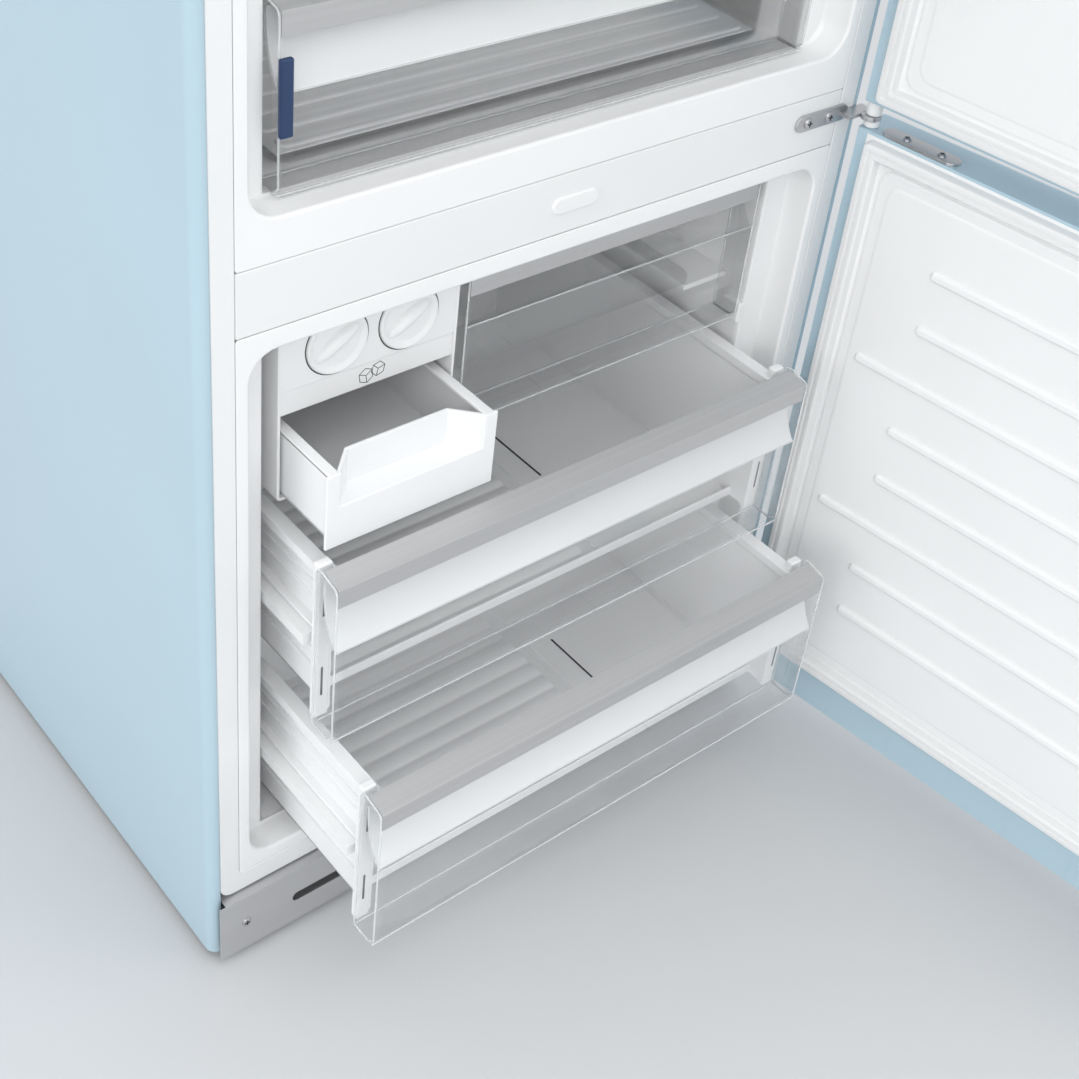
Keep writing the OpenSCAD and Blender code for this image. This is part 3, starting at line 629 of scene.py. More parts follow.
def cross_screw(shape: Shape, cross_shades: Shape, at: Triple, axis: Across, side: float, radius: float) -> None:
    """Adds a domed screw head to one shape and, to another, dark bars standing for the shade in its cross recess:
    painted shade.

    Args:
        shape: takes the head.
        cross_shades: takes the cross.
        at: the middle of the head's foot.
        axis: the axis of the screw.
        side: 1 or -1, the way that the head faces.
        radius: the head's radius.
    """
    rise = radius * 0.42
    dome = [(0.01, 0), (radius, 0), (radius, side * rise * 0.45), (radius * 0.86, side * rise * 0.8),
            (radius * 0.5, side * rise), (0.01, side * rise * 1.04)]
    shape.lathe(at, axis, dome, 28)
    along, first, second = axis.value
    for one, two in ((first, second), (second, first)):
        low, high = list(at), list(at)
        for i, half in ((one, radius * 0.56), (two, radius * 0.13)):
            low[i] -= half
            high[i] += half
        ends = sorted((at[along] + side * rise * 0.9, at[along] + side * rise * 1.12))
        low[along], high[along] = ends
        # painted shade: a dark bar on the head where the recess's shade shows
        cross_shades.box(low, high, 0.0)


# ---------- cabinet ----------


@dataclass
class Cabinet:
    """The outer shell, front frame, middle rail and kick plate."""

    edge: float = 11.0
    top_radius: float = 24.0
    sheet: float = 1.5

    def build(self) -> None:
        """Builds the fixed outside of the cabinet."""
        self.shell()
        self.front_frame()
        self.mid_rail()
        self.kick_plate()
        self.feet()
        self.machinery()

    def shell(self) -> None:
        """The blue sides and top, rounded at the front."""
        low, high = box_of("outer_shell")
        under = low.z - 60
        rings = []
        for turn in (0, 18, 36, 54, 72, 90):
            a = math.radians(turn)
            x = high.x - self.edge * (1 - math.sin(a))
            z = high.z - self.edge * (1 - math.sin(a))
            y = low.y + self.edge * (1 - math.cos(a))
            rings.append(Ring(y, (-x, under), (x, z), self.top_radius - self.edge * (1 - math.sin(a))))
        rings.append(rings[-1].moved(high.y))
        shape = Shape().loft(Across.Y, rings, (False, False), steps=8)
        bmesh.ops.bisect_plane(shape.bm, geom=shape.parts(), plane_co=(0, 0, low.z), plane_no=(0, 0, 1),
                               clear_inner=True)
        shape.facing((0, 0, 1))
        shape.done("shell", BLUE_ENAMEL, "cabinet", ["outer_shell"], wall=self.sheet, keep_facing=True)

    def front_frame(self) -> None:
        """The white frame around both openings."""
        low, high = box_of("front_frame")
        side = box_of("mid_rail")[1].x + 0.5
        bottom = box_of("kick_plate")[1].z + 26
        top = high.z - 24
        outer = Ring(low.y, (low.x + 0.6, low.z), (high.x - 0.6, high.z - 0.6), 13)
        inner = Ring(low.y, (-side, bottom), (side, top), 5)
        rings = [outer.moved(high.y), outer.moved(low.y + 0.8), outer.moved(low.y, 0.8),
                 inner.moved(low.y, -0.7, 5), inner.moved(low.y + 0.7, 0, 5), inner.moved(high.y, 0, 5)]
        Shape().loft(Across.Y, rings, closed=True, steps=5).done(
            "frame", WHITE_FRAME, "cabinet", ["front_frame"])

    def mid_rail(self) -> None:
        """The rail between the compartments and its moulded cap."""
        low, high = box_of("mid_rail")
        Shape().box(low, high, 1.6, 3).done("rail", WHITE_FRAME, "cabinet", ["mid_rail"])
        low, high = box_of("mid_rail_cap")
        rise = FRONT - low.y
        half = (high.z - low.z) / 2
        shape = Shape().pill(Across.Y, FRONT + 0.3, -(rise + 0.2), (low.x, low.z), (high.x, high.z), half, 1.8)
        shape.done("rail_cap", WHITE_MOULDING, "cabinet", ["mid_rail_cap"])

    def kick_plate(self) -> None:
        """The brushed plate under the doors."""
        dress("kick_plate", KICK_GREY)

    def feet(self) -> None:
        """The levelling feet, turned with a collar."""
        shape = Shape()
        low, high = box_of("front_feet")
        x, y = high.x - 20, (low.y + high.y) / 2
        shape.lathe((x, y, 0), Across.Z, [(0.01, 0), (18.5, 0), (20, 1.4), (20, 6), (18.6, 8), (9, 9.5), (5, 11),
                                          (5, 26), (9, 26), (9, 37.8), (5, 37.8), (5, 62), (0.01, 62)], 40)
        shape.mirrored().done("feet", BLACK_RUBBER, "cabinet", ["front_feet"])

    def machinery(self) -> None:
        """The compressor, condenser, tray and other parts at the back."""
        low, high = box_of("compressor")
        cx, cy = low.x + 85, (low.y + high.y) / 2
        shape = Shape()
        profile = [(0.01, 46.5), (52, 46.5), (66, 54), (70, 66), (70, 118), (73, 119), (73, 123), (70, 124),
                   (69, 142)]
        for turn in range(10, 90, 10):
            a = math.radians(turn)
            profile.append((69 * math.cos(a), 142 + 42 * math.sin(a)))
        profile += [(16, 184.5), (16, 190), (0.01, 190)]
        shape.lathe((cx, cy, 0), Across.Z, profile, 56)
        shape.box((cx - 85, cy - 55, 43.5), (cx + 85, cy + 55, 46.5), 1)
        shape.box((cx + 66, cy - 20, 70), (cx + 88, cy + 20, 112), 3)
        shape.done("compressor_pot", BLACK_PAINT_AND_SHADE, "cabinet", ["compressor"])
        mounts = Shape()
        grommet = [(0.01, 0), (9, 0), (9, 2), (7, 4), (9, 6), (9, 11.4), (0.01, 11.4)]
        for x in (-70, 70):
            for y in (-45, 45):
                mounts.lathe((cx + x, cy + y, 32), Across.Z, grommet, 24)
        mounts.done("compressor_mounts", BLACK_RUBBER, "cabinet")
        low, high = box_of("drain_tray")
        foot = Ring(low.z, (low.x + 6, low.y + 6), (high.x - 6, high.y - 6), 12)
        rings = [foot, foot.moved(high.z, -5.9, 16), foot.moved(high.z, -3.5, 14), foot.moved(low.z + 2, 2, 10)]
        Shape().loft(Across.Z, rings).done("melt_tray", DARK_PLASTIC_AND_SHADE, "cabinet", ["drain_tray"])
        for node, finish in (("back_panel", GALVANISED), ("base_chassis", GALVANISED), ("insulation", FOAM),
                             ("condenser", BLACK_PAINT_AND_SHADE), ("evaporator", EVAPORATOR_METAL),
                             ("evaporator_cover", WHITE_LINER), ("fan_rotor", DARK_PLASTIC_AND_SHADE),
                             ("cable_gland", BLACK_RUBBER), ("rear_rollers", DARK_PLASTIC_AND_SHADE)):
            dress(node, finish)


# ---------- liners and shelves ----------


@dataclass
class Liner:
    """A vacuum-formed liner: flange, recess, ledge and room."""

    node: str
    floor: float
    roof: float
    flange_radius: float = 3.0
    recess_radius: float = 26.0
    room_radius: float = 5.0
    step: Optional[Pair] = None
    recess_depth: float = 30.0
    recess_inset: float = 12.0
    soft: float = 3.0

    def build(self) -> Shape:
        """Makes the open skin of the liner, facing the front.

        Returns:
            The shape.
        """
        low, high = box_of(self.node)
        recess = high.x - self.recess_inset
        room = high.x - ROOM_INSET
        back = high.y - 2
        flange = Ring(FRONT + 2.5, (low.x, low.z), (high.x, high.z), self.flange_radius)
        mouth = Ring(FRONT, (-recess, self.floor), (recess, self.roof), self.recess_radius)
        soft = self.soft
        rings = [flange, flange.moved(FRONT + 0.8), flange.moved(FRONT, 0.8), mouth.moved(FRONT, -soft)]
        for turn in (30, 60, 90):
            a = math.radians(turn)
            rings.append(mouth.moved(FRONT + soft * (1 - math.cos(a)), -soft * (1 - math.sin(a))))
        deep = FRONT + self.recess_depth
        inner = Ring(deep, (-room, self.floor), (room, self.roof), self.room_radius)
        rings += [mouth.moved(deep - 4), mouth.moved(deep, 2.4, self.recess_radius - 2),
                  Ring(deep, (-room - 5, self.floor + 0.3), (room + 5, self.roof - 0.3), self.room_radius + 3),
                  inner.moved(deep + 1.6, -1.5), inner.moved(deep + 6)]
        if self.step:
            at, height = self.step
            over = Ring(at, (-room, height), (room, self.roof), self.room_radius)
            rings += [inner.moved(at - 5), Ring(at, (-room, self.floor + 5), (room, self.roof), self.room_radius),
                      Ring(at, (-room, height - 5), (room, self.roof), self.room_radius), over.moved(at + 5)]
            inner = over
        rings += [inner.moved(back - 6), inner.moved(back, 5)]
        return Shape().loft(Across.Y, rings, (False, True), steps=6).facing((0, -1, 0))


@dataclass
class Compartments:
    """Both liners, the shelves, the ledges and the control panel."""

    shelf_z: float = 958.0
    shelf_pitch: float = 205.0
    shelf_count: int = 4
    shelf_back: float = 545.0
    step_y: float = 360.0
    flap_shelf: float = 36.0
    runner_ledges: Sequence[Pair] = ((212.5, 350), (407.5, 480))

    def build(self) -> None:
        """Builds what is fixed inside the cabinet."""
        low, high = box_of("fridge_liner")
        Liner("fridge_liner", low.z + 36.5, high.z - 11.5).build().done(
            "fridge_room", WHITE_LINER, "cabinet", ["fridge_liner"], wall=1.8, keep_facing=True)
        low, high = box_of("freezer_liner")
        step = (FRONT + self.step_y, box_of("evaporator_cover")[0].z)
        Liner("freezer_liner", low.z + 14.5, high.z - 18.5, step=step).build().done(
            "freezer_room", WHITE_LINER, "cabinet", ["freezer_liner"], wall=1.8, keep_facing=True)
        self.ledges()
        self.shelves()
        self.control_panel()

    def ledges(self) -> None:
        """The ledges for shelves and runners."""
        room = box_of("freezer_liner")[1].x - ROOM_INSET
        sides = Shape()
        for z, back in self.runner_ledges:
            sides.box((room - 15, FRONT + 60, z - 4), (room + 1, FRONT + back, z), 1.5, 3)
        sides.mirrored()
        flap_low, flap_high = box_of("flap_panel")
        shelf = flap_low.z + self.flap_shelf
        sides.box((flap_high.x - 55, FRONT + 60, shelf - 6), (room + 1, FRONT + 440, shelf), 1)
        sides.box((flap_high.x - 3.4, FRONT + 29, flap_low.z - 8), (room + 1, FRONT + 52, flap_low.z + 14), 2, 3)
        sides.done("freezer_ledges", WHITE_LINER, "cabinet")
        fridge = Shape()
        for i in range(self.shelf_count):
            z = self.shelf_z + self.shelf_pitch * i
            start = 50 if i == 0 else 140
            fridge.box((room - 9, FRONT + start, z - 5), (room + 1, FRONT + self.shelf_back, z), 1.5, 3)
        fridge.box((room - 16, FRONT + 60, 900), (room + 1, FRONT + 500, 904), 1.5, 3)
        fridge.mirrored().done("fridge_ledges", WHITE_LINER, "cabinet")

    def shelves(self) -> None:
        """The glass shelves with their trims."""
        room = box_of("freezer_liner")[1].x - ROOM_INSET
        glass, trims = Shape(), Shape()
        for i in range(self.shelf_count):
            z = self.shelf_z + self.shelf_pitch * i
            start = 45 if i == 0 else 130
            glass.pill(Across.Z, z, 4, (-room + 2, FRONT + start), (room - 2, FRONT + self.shelf_back), 8, 1.2)
            trims.box((-room + 2, FRONT + start - 4, z - 3), (room - 2, FRONT + start + 14, z + 7), 2.4, 3)
            trims.box((-room + 2, FRONT + self.shelf_back - 12, z - 3),
                      (room - 2, FRONT + self.shelf_back + 2, z + 9), 2.4, 3)
        low = box_of("ice_module")[1].x - 22
        high = box_of("flap_panel")[1].x - 37
        z = box_of("flap_panel")[0].z + self.flap_shelf
        glass.pill(Across.Z, z, 4, (low, FRONT + 62), (high, FRONT + 440), 22, 1.2)
        glass.done("shelf_glass", SHELF_GLASS, "cabinet", ["glass_shelves"])
        trims.done("shelf_trims", WHITE_MOULDING, "cabinet")

    def control_panel(self) -> None:
        """The lamp and control housing under the fridge roof."""
        low, high = box_of("control_panel")
        shape = Shape().box((low.x, low.y, low.z + 4), high, 7, 4)
        shape.done("control_housing", WHITE_MOULDING, "cabinet", ["control_panel"])
        lamp = Shape().box((-60, low.y + 40, low.z), (60, low.y + 130, low.z + 8), 3, 3)
        lamp.done("lamp_cover", TUB_WHITE, "cabinet")
        low, high = box_of("control_dial")
        cx, cz = (low.x + high.x) / 2, (low.z + high.z) / 2
        dial = Shape().lathe((cx, low.y + 4, cz), Across.Y, [(0.01, 0.4), (10.5, 0.4), (12.6, 0), (13.8, 1.4),
                                                             (14, 4), (14, 13), (0.01, 13)], 40)
        dial.box((cx - 1.8, low.y, cz - 12), (cx + 1.8, low.y + 5, cz + 12), 1.2, 3)
        dial.done("dial", WHITE_MOULDING, "control_dial", ["control_dial"])


# ---------- drawers ----------


@dataclass
class ClearFront:
    """A clear front with a finger recess, end plates and a metal strip."""

    panel_node: str
    strip_node: str
    name: str
    body: str
    flat: float = 105.0
    wall: float = 3.0
    corner: float = 7.0
    edge_radius: float = 0.9
    recess_finish: Finish = CLEAR_FROSTED

    def build(self) -> None:
        """Builds the clear front and its strip."""
        low, high = box_of(self.panel_node)
        strip_low, strip_high = box_of(self.strip_node)
        height = high.z - low.z - 5
        depth = high.y - low.y
        reach = strip_high.y - strip_low.y - 1
        x0, x1 = strip_low.x - self.wall - 0.3, strip_high.x + self.wall + 0.3
        w = self.wall
        outer = curve([(0, self.flat), (reach * 0.95, self.flat + (height - self.flat) * 0.35),
                       (reach - 3, height - 3)], 14)
        inner = [(y + w, z - 1.2) for y, z in outer]
        inner[0] = (w, self.flat)
        scoop = [*outer, *reversed(inner)]
        recess = Shape().prism(Across.X, placed(scoop, low), x0 + w, x1 - w)
        recess.done(self.name + "_recess", self.recess_finish, self.body)
        outline = [(0, 0), (0, self.flat), (w, self.flat), (w, w), (depth, w), (depth, 0)]
        shape = Shape()
        shape.prism(Across.X, placed(outline, low), x0 + w - 0.4, x1 - w + 0.4)
        end = [(0, self.corner)] + curve([(0, height - self.corner), (0, height), (5, height + 1.2)], 5)
        end += curve([(reach, height + 5), (depth, height + 5), (depth, height - 2)], 4) + [(depth, 0)]
        end += [(self.corner, 0)]
        for x in (x0, x1 - w):
            shape.prism(Across.X, placed(end, low), x, x + w, 0.7, 2)
        shape.done(self.name + "_clear", CLEAR_PLASTIC, self.body, [self.panel_node])
        # painted highlights: bright rods on the clear sheet's edges
        self.edges(low, end, x0, x1, depth)
        lip = strip_high.z - strip_low.z - 5
        top = [(0, height - lip), (0, height), (reach + 1, height + 5), (reach + 1, height + 3),
               (1.9, height - 1.9), (1.9, height - lip)]
        strip = Shape().prism(Across.X, placed(top, low), strip_low.x, strip_high.x, 0.55, 2)
        strip.done(self.name + "_trim", BRUSHED_STRIP, self.body, [self.strip_node])

    def edges(self, low: Vector, end: Sequence[Pair], x0: float, x1: float, depth: float) -> None:
        """Painted highlights along the edges of the clear sheet: whiter, less clear rods on the end plates'
        outlines, the foot and the recess's foot, standing in for the light caught on the sheet's edges.

        Args:
            low: the lowest corner of the panel.
            end: the outline of an end plate.
            x0: the left side.
            x1: the right side.
            depth: the depth of the front.
        """
        shape = Shape()
        rim = placed(end, low)
        for x in (x0 + self.wall / 2, x1 - self.wall / 2):
            for (ay, az), (by, bz) in zip(rim, rim[1:] + rim[:1]):
                shape.rod((x, ay, az), (x, by, bz), self.edge_radius, steps=8)
        for y, z in ((1.0, 1.0), (depth - 1.0, 1.0), (1.0, self.flat)):
            shape.rod((x0 + 1, low.y + y, low.z + z), (x1 - 1, low.y + y, low.z + z), self.edge_radius, steps=8)
        shape.done(self.name + "_edges", CLEAR_EDGE_HIGHLIGHT, self.body)


@dataclass
class Tub:
    """The white tub of a freezer drawer, with rim, rails, wings and a waved floor."""

    node: str
    name: str
    body: str
    height: float = 174.0
    wave_pitch: float = 21.0
    wave_rise: float = 3.2
    wave_share: float = 0.62
    set_back: float = 24.0
    wall_inset: float = 16.5
    ribs: Sequence[float] = (60, 78, 120, 136)
    catches: int = 4

    def build(self) -> None:
        """Builds the tub."""
        low, high = box_of(self.node)
        x = high.x - self.wall_inset
        base = low.z - 3
        start, back = low.y, high.y
        shape = Shape()
        rim = self.height - 6
        side = [(x, 8), (x, 40), (x + 3, 40), (x + 3, 44), (x, 44), (x, 96), (x + 8, 96), (x + 8, 100), (x, 100),
                (x, rim - 12), (x + 8, rim - 10), (x + 8, rim), (x - 6, rim), (x - 6, rim - 9),
                (x - 2.5, rim - 14), (x - 2.5, 8)]
        shape.prism(Across.Y, [(a, base + z) for a, z in side], start, back, 0.8, 2)
        shape.box((x - 1, start - 0.4, base + 3), (x + 13.5, start + 9, base + self.height + 4), 2.2, 3)
        for z in self.ribs:
            shape.box((x - 1, start + 24, base + z), (x + 1.6, back - 30, base + z + 2.2), 0.7)
        for i in range(self.catches):
            y = start + 60 + i * (back - start - 110) / (self.catches - 1)
            shape.box((x + 2, y, base + 88), (x + 7, y + 12, base + 97), 1.0)
        shape.mirrored()
        shape.box((-x, back - 3, base + 8), (x, back, base + rim), 0.9)
        shape.box((-x - 6, back - 8, base + rim - 9), (x + 6, back, base + rim), 2.4, 3)
        shape.box((-x, start + self.set_back - 2, base + 8), (x, back, base + 10.5), 0.6)
        lip = start + self.set_back
        shape.box((-x, lip - 3, base + 8), (x, lip, base + 19), 1.4, 3)
        self._floor(shape, x, lip, back, base + 10.4)
        shape.done(self.name + "_shell", TUB_WHITE, self.body, [self.node])
        self._slot_shades(x, lip, back, base + 12.2)

    def _floor(self, shape: Shape, x: float, start: float, back: float, z: float) -> None:
        """Adds the waves on the left and the low panel on the right.

        Args:
            shape: takes the floor.
            x: half the inner width.
            start: the front end.
            back: the back end.
            z: the height of the flat floor.
        """
        split = -x + 2 * x * self.wave_share
        first, last = start + 8, back - 14
        waves = max(2, round((last - first) / self.wave_pitch))
        pitch = (last - first) / waves
        points = [(first, z - 1)]
        for i in range(waves):
            for j in range(10):
                t = j / 10
                lift = self.wave_rise * math.sin(math.pi * t) ** 0.7
                points.append((first + (i + t) * pitch, z + lift))
        points += [(last, z), (last, z - 1)]
        shape.prism(Across.X, points, -x + 9, split)
        shape.pill(Across.Z, z - 0.4, 2.0, (split + 16, start + 4), (x - 10, back - 14), 10, 1.4)
        shape.pill(Across.Z, z - 0.4, 1.2, (-x + 4, start + 2), (split + 10, back - 9), 8, 1.0)

    def _slot_shades(self, x: float, start: float, back: float, z: float) -> None:
        """Makes dark pads for the thin slot in the floor and those in the wings: painted shade where the slots'
        shaded openings show.

        Args:
            x: half the inner width.
            start: the front end of the floor.
            back: its back end.
            z: its height.
        """
        slot_x = -x + 2 * x * 0.7
        middle = start + (back - start) * 0.42
        # painted shade: a thin dark pad where the floor slot's shaded opening shows
        slot_shade = Shape().pill(Across.Z, z - 0.3, 0.5, (slot_x, middle - 42), (slot_x + 2.2, middle + 42), 1, 0.2)
        slot_shade.done(self.name + "_slot_shade", DARK_PLASTIC_AND_SHADE, self.body)
        wings = Shape()
        low, _ = box_of(self.node)
        for z0, z1 in ((26, 60), (118, 150)):
            # painted shade: thin dark pads where the wing slots' shaded openings show
            wings.pill(Across.Y, low.y - 0.35, -0.25, (x + 6.2, low.z + z0), (x + 8.4, low.z + z1), 1, 0.2)
        wings.mirrored().done(self.name + "_wing_slot_shades", DARK_PLASTIC_AND_SHADE, self.body)


# ---------- ice maker ----------


@dataclass
class IceMaker:
    """The housing, knobs, trays and bin of the ice maker."""

    wall: float = 3.0
    knob_radius: float = 29.0
    gap: float = 1.3
    grip_turn: float = -32.0
    fascia: float = 30.6
    inset: float = 13.0
    scoop_depth: float = 24.0
    scoop_corner: float = 22.0

    def build(self) -> None:
        """Builds the ice maker."""
        self.housing()
        for side in Side:
            self.knob(side)
        self.pictogram()
        self.bin()
        for node in ("left_ice_tray", "right_ice_tray"):
            dress(node, CLEAR_PLASTIC)
        dress("ice_runners", WHITE_MOULDING)

    def housing(self) -> None:
        """The housing with its fascia."""
        low, high = box_of("ice_module")
        x0, x1 = low.x + self.inset, low.x + 190
        y0 = FRONT + self.fascia
        split = low.z + 85
        body = Ring(y0, (x0, low.z), (x1, high.z), 5)
        rings = [body.moved(high.y), body.moved(y0 + 1.4), body.moved(y0 + 0.4, 0.4), body.moved(y0, 1.2),
                 body.moved(y0 + 0.3, self.wall - 0.3, 3), body.moved(y0 + 2, self.wall, 3),
                 body.moved(high.y - 3, self.wall, 3)]
        shape = Shape().loft(Across.Y, rings, steps=5)
        shape.box((x0 + 2, y0 + 0.5, split + 24), (x1 - 2, y0 + 9, high.z - 1.5), 1.1, 3)
        shape.box((x0 + 2, y0 + 2.2, split), (x1 - 2, y0 + 9, split + 24.6), 1.4, 3)
        shape.box((low.x, y0 + 60, split + 10), (x0 + 1, y0 + 170, split + 30), 2, 2)
        shape.box((x1 - 1, FRONT + 60, low.z + 35), (high.x, FRONT + 300, low.z + 41), 1)
        shape.box((x1 - 1, FRONT + 32, low.z), (x1 + 7, FRONT + 52, low.z + 19), 1.6, 3)
        shape.done("ice_housing", WHITE_MOULDING, "cabinet", ["ice_module"])

    def knob(self, side: Side) -> None:
        """A dished knob with a raised grip.

        Args:
            side: which knob.
        """
        node = side.value + "_knob"
        low, high = box_of(node)
        cx, cz = (low.x + high.x) / 2, (low.z + high.z) / 2
        y = FRONT + self.fascia
        r = self.knob_radius
        wide = r + self.gap
        # painted shade: a dark ring filling the gap around the knob, where the gap's shade shows
        gap_shade = Shape().lathe((cx, y, cz), Across.Y, [(r + 0.2, 0.4), (wide, 0.4), (wide, 2.4), (r + 0.2, 2.4),
                                                     (r + 0.2, 0.4)], 64)
        gap_shade.done(node + "_gap_shade", DARK_PLASTIC_AND_SHADE, "cabinet")
        dish = [(0.01, 2.4), (9, 2.3), (17, 1.8), (22, 0.6), (24.6, -0.9), (26.2, -1.9), (27.6, -2), (28.6, -1.3),
                (r, -0.2), (r, 6), (6, 6), (6, 24), (0.01, 24)]
        shape = Shape().lathe((cx, y, cz), Across.Y, dish, 72)
        grip = bmesh.ops.create_uvsphere(shape.bm, u_segments=32, v_segments=18, radius=1.0)["verts"]
        bmesh.ops.scale(shape.bm, vec=(23.5, 7.5, 6.6), verts=grip)
        for vert in grip:
            vert.co.z += 2.4 * (1 - (vert.co.x / 23.5) ** 2) - 1.2
        bmesh.ops.rotate(shape.bm, cent=(0, 0, 0), verts=grip,
                         matrix=Matrix.Rotation(math.radians(self.grip_turn), 3, "Y"))
        bmesh.ops.translate(shape.bm, vec=(cx, y + 1.0, cz), verts=grip)
        shape.done(node + "_turned", WHITE_MOULDING, node, [node])

    def pictogram(self) -> None:
        """Two small cube outlines on the fascia."""
        low, _ = box_of("ice_module")
        x0 = low.x + self.inset
        y = FRONT + self.fascia + 2.2
        shape = Shape()
        for cx, cz, size, tilt in ((x0 + 86, low.z + 96, 7.4, 8), (x0 + 98, low.z + 99, 7.0, -14)):
            corners = []
            for i in range(6):
                a = math.radians(60 * i + 30 + tilt)
                corners.append((cx + size * math.cos(a), cz + size * math.sin(a)))
            lines = [(corners[i], corners[(i + 1) % 6]) for i in range(6)]
            lines += [((cx, cz), corners[i]) for i in (0, 2, 4)]
            for (ax, az), (bx, bz) in lines:
                shape.rod((ax, y, az), (bx, y, bz), 0.32, steps=6)
        shape.done("cube_mark", DARK_PLASTIC_AND_SHADE, "cabinet")

    def bin(self) -> None:
        """The bin with its scooped front."""
        low, high = box_of("ice_bin")
        x0, x1 = low.x + 0.4, high.x - 0.4
        y0 = low.y
        set_back, corner, thick = self.scoop_depth, self.scoop_corner, self.wall
        top = high.z - 0.5
        base = low.z
        ledge = base + 41
        shape = Shape()
        for a, b in ((x0 + 2.6, x0 + 12.6), (x1 - 12.6, x1 - 2.6)):
            shape.box((a, y0 + 1, top - 4.2), (b, high.y, top), 1.4, 3)
        for a in (x0 + 2.6, x1 - 2.6 - thick):
            shape.box((a, y0 + 1, base + 11), (a + thick, high.y, top - 1), 0.8)
        shape.box((x0 + 2.6, high.y - thick, base + 11), (x1 - 2.6, high.y, top), 1)
        shape.box((x0 + 2.6, y0 + 1, base + 10.5), (x1 - 2.6, high.y, base + 13.5), 0.8)
        shape.box((x0, y0, base), (x1, y0 + 3, ledge), 1.0, 3)
        shape.box((x0, y0, ledge - 2), (x0 + 13, y0 + 3, top), 1.0, 3)
        shape.box((x1 - 13, y0, ledge - 2), (x1, y0 + 3, top), 1.0, 3)
        shape.box((x0 + 5, y0 + 1, ledge - 3), (x1 - 5, y0 + set_back + 2, ledge - 0.2), 0.8)
        inner = [(x0 + 13, y0 + 1.6), (x0 + 13 + corner, y0 + set_back), (x1 - 13 - corner, y0 + set_back),
                 (x1 - 13, y0 + 1.6), (x1 - 13 + thick, y0 + 3), (x1 - 12 - corner, y0 + set_back + thick),
                 (x0 + 12 + corner, y0 + set_back + thick), (x0 + 13 - thick, y0 + 3)]
        shape.prism(Across.Z, inner, base + 11, top - 0.4, 0.7, 2)
        shape.done("bin", TUB_WHITE, "ice_bin", ["ice_bin"])


# ---------- crisper ----------


@dataclass
class Crisper:
    """The vegetable drawer in the fridge."""

    flat: float = 80.0
    rim: float = 12.0
    ribs: int = 15
    rib_share: float = 0.62

    def build(self) -> None:
        """Builds the crisper."""
        ClearFront("crisper_front", "crisper_strip", "crisper", "crisper", flat=self.flat).build()
        low, high = box_of("crisper_tub")
        x = high.x - self.rim
        rings = [Ring(low.z, (-x + 5, low.y + 4), (x - 5, high.y - 6), 16),
                 Ring(low.z + 3, (-x + 2, low.y + 1), (x - 2, high.y - 3), 18),
                 Ring(high.z - 8, (-x, low.y), (x, high.y), 18),
                 Ring(high.z - 7, (-x - 4, low.y), (x + 4, high.y), 20),
                 Ring(high.z, (-x - 4, low.y), (x + 4, high.y), 20),
                 Ring(high.z, (-x + 3, low.y + 3), (x - 3, high.y - 3), 16),
                 Ring(low.z + 5, (-x + 4.5, low.y + 3.5), (x - 4.5, high.y - 5.5), 14)]
        shape = Shape().loft(Across.Z, rings, steps=5)
        rails = Shape().box((x - 0.5, low.y + 20, low.z + 92.3), (x + self.rim, high.y - 20, low.z + 98), 1.2)
        rails.mirrored().done("crisper_rails", TUB_WHITE, "crisper")
        shape.done("crisper_shell", CLEAR_PLASTIC, "crisper", ["crisper_tub"])
        floor = Shape()
        start, back = low.y + 14, high.y - 20
        pitch = (back - start) / self.ribs
        floor.box((-x + 8, start - 4, low.z + 4.8), (x - 8, back + 4, low.z + 6.4), 0.6)
        for i in range(self.ribs):
            y = start + i * pitch
            floor.pill(Across.Z, low.z + 6.2, 2.4, (-x + 16, y), (x - 16, y + pitch * self.rib_share), 7, 2.0)
        floor.done("crisper_floor", TUB_WHITE, "crisper")
        low, high = box_of("humidity_slider")
        slider = Shape().box(low, high, 1.6, 3)
        for i in range(3):
            z = (low.z + high.z) / 2 - 6 + i * 6
            slider.box((low.x + 2, low.y, z - 1), (high.x - 2, low.y + 1.4, z + 1), 0.4)
        slider.done("slider", SLIDER_BLUE, "humidity_slider", ["humidity_slider"])


# ---------- doors ----------


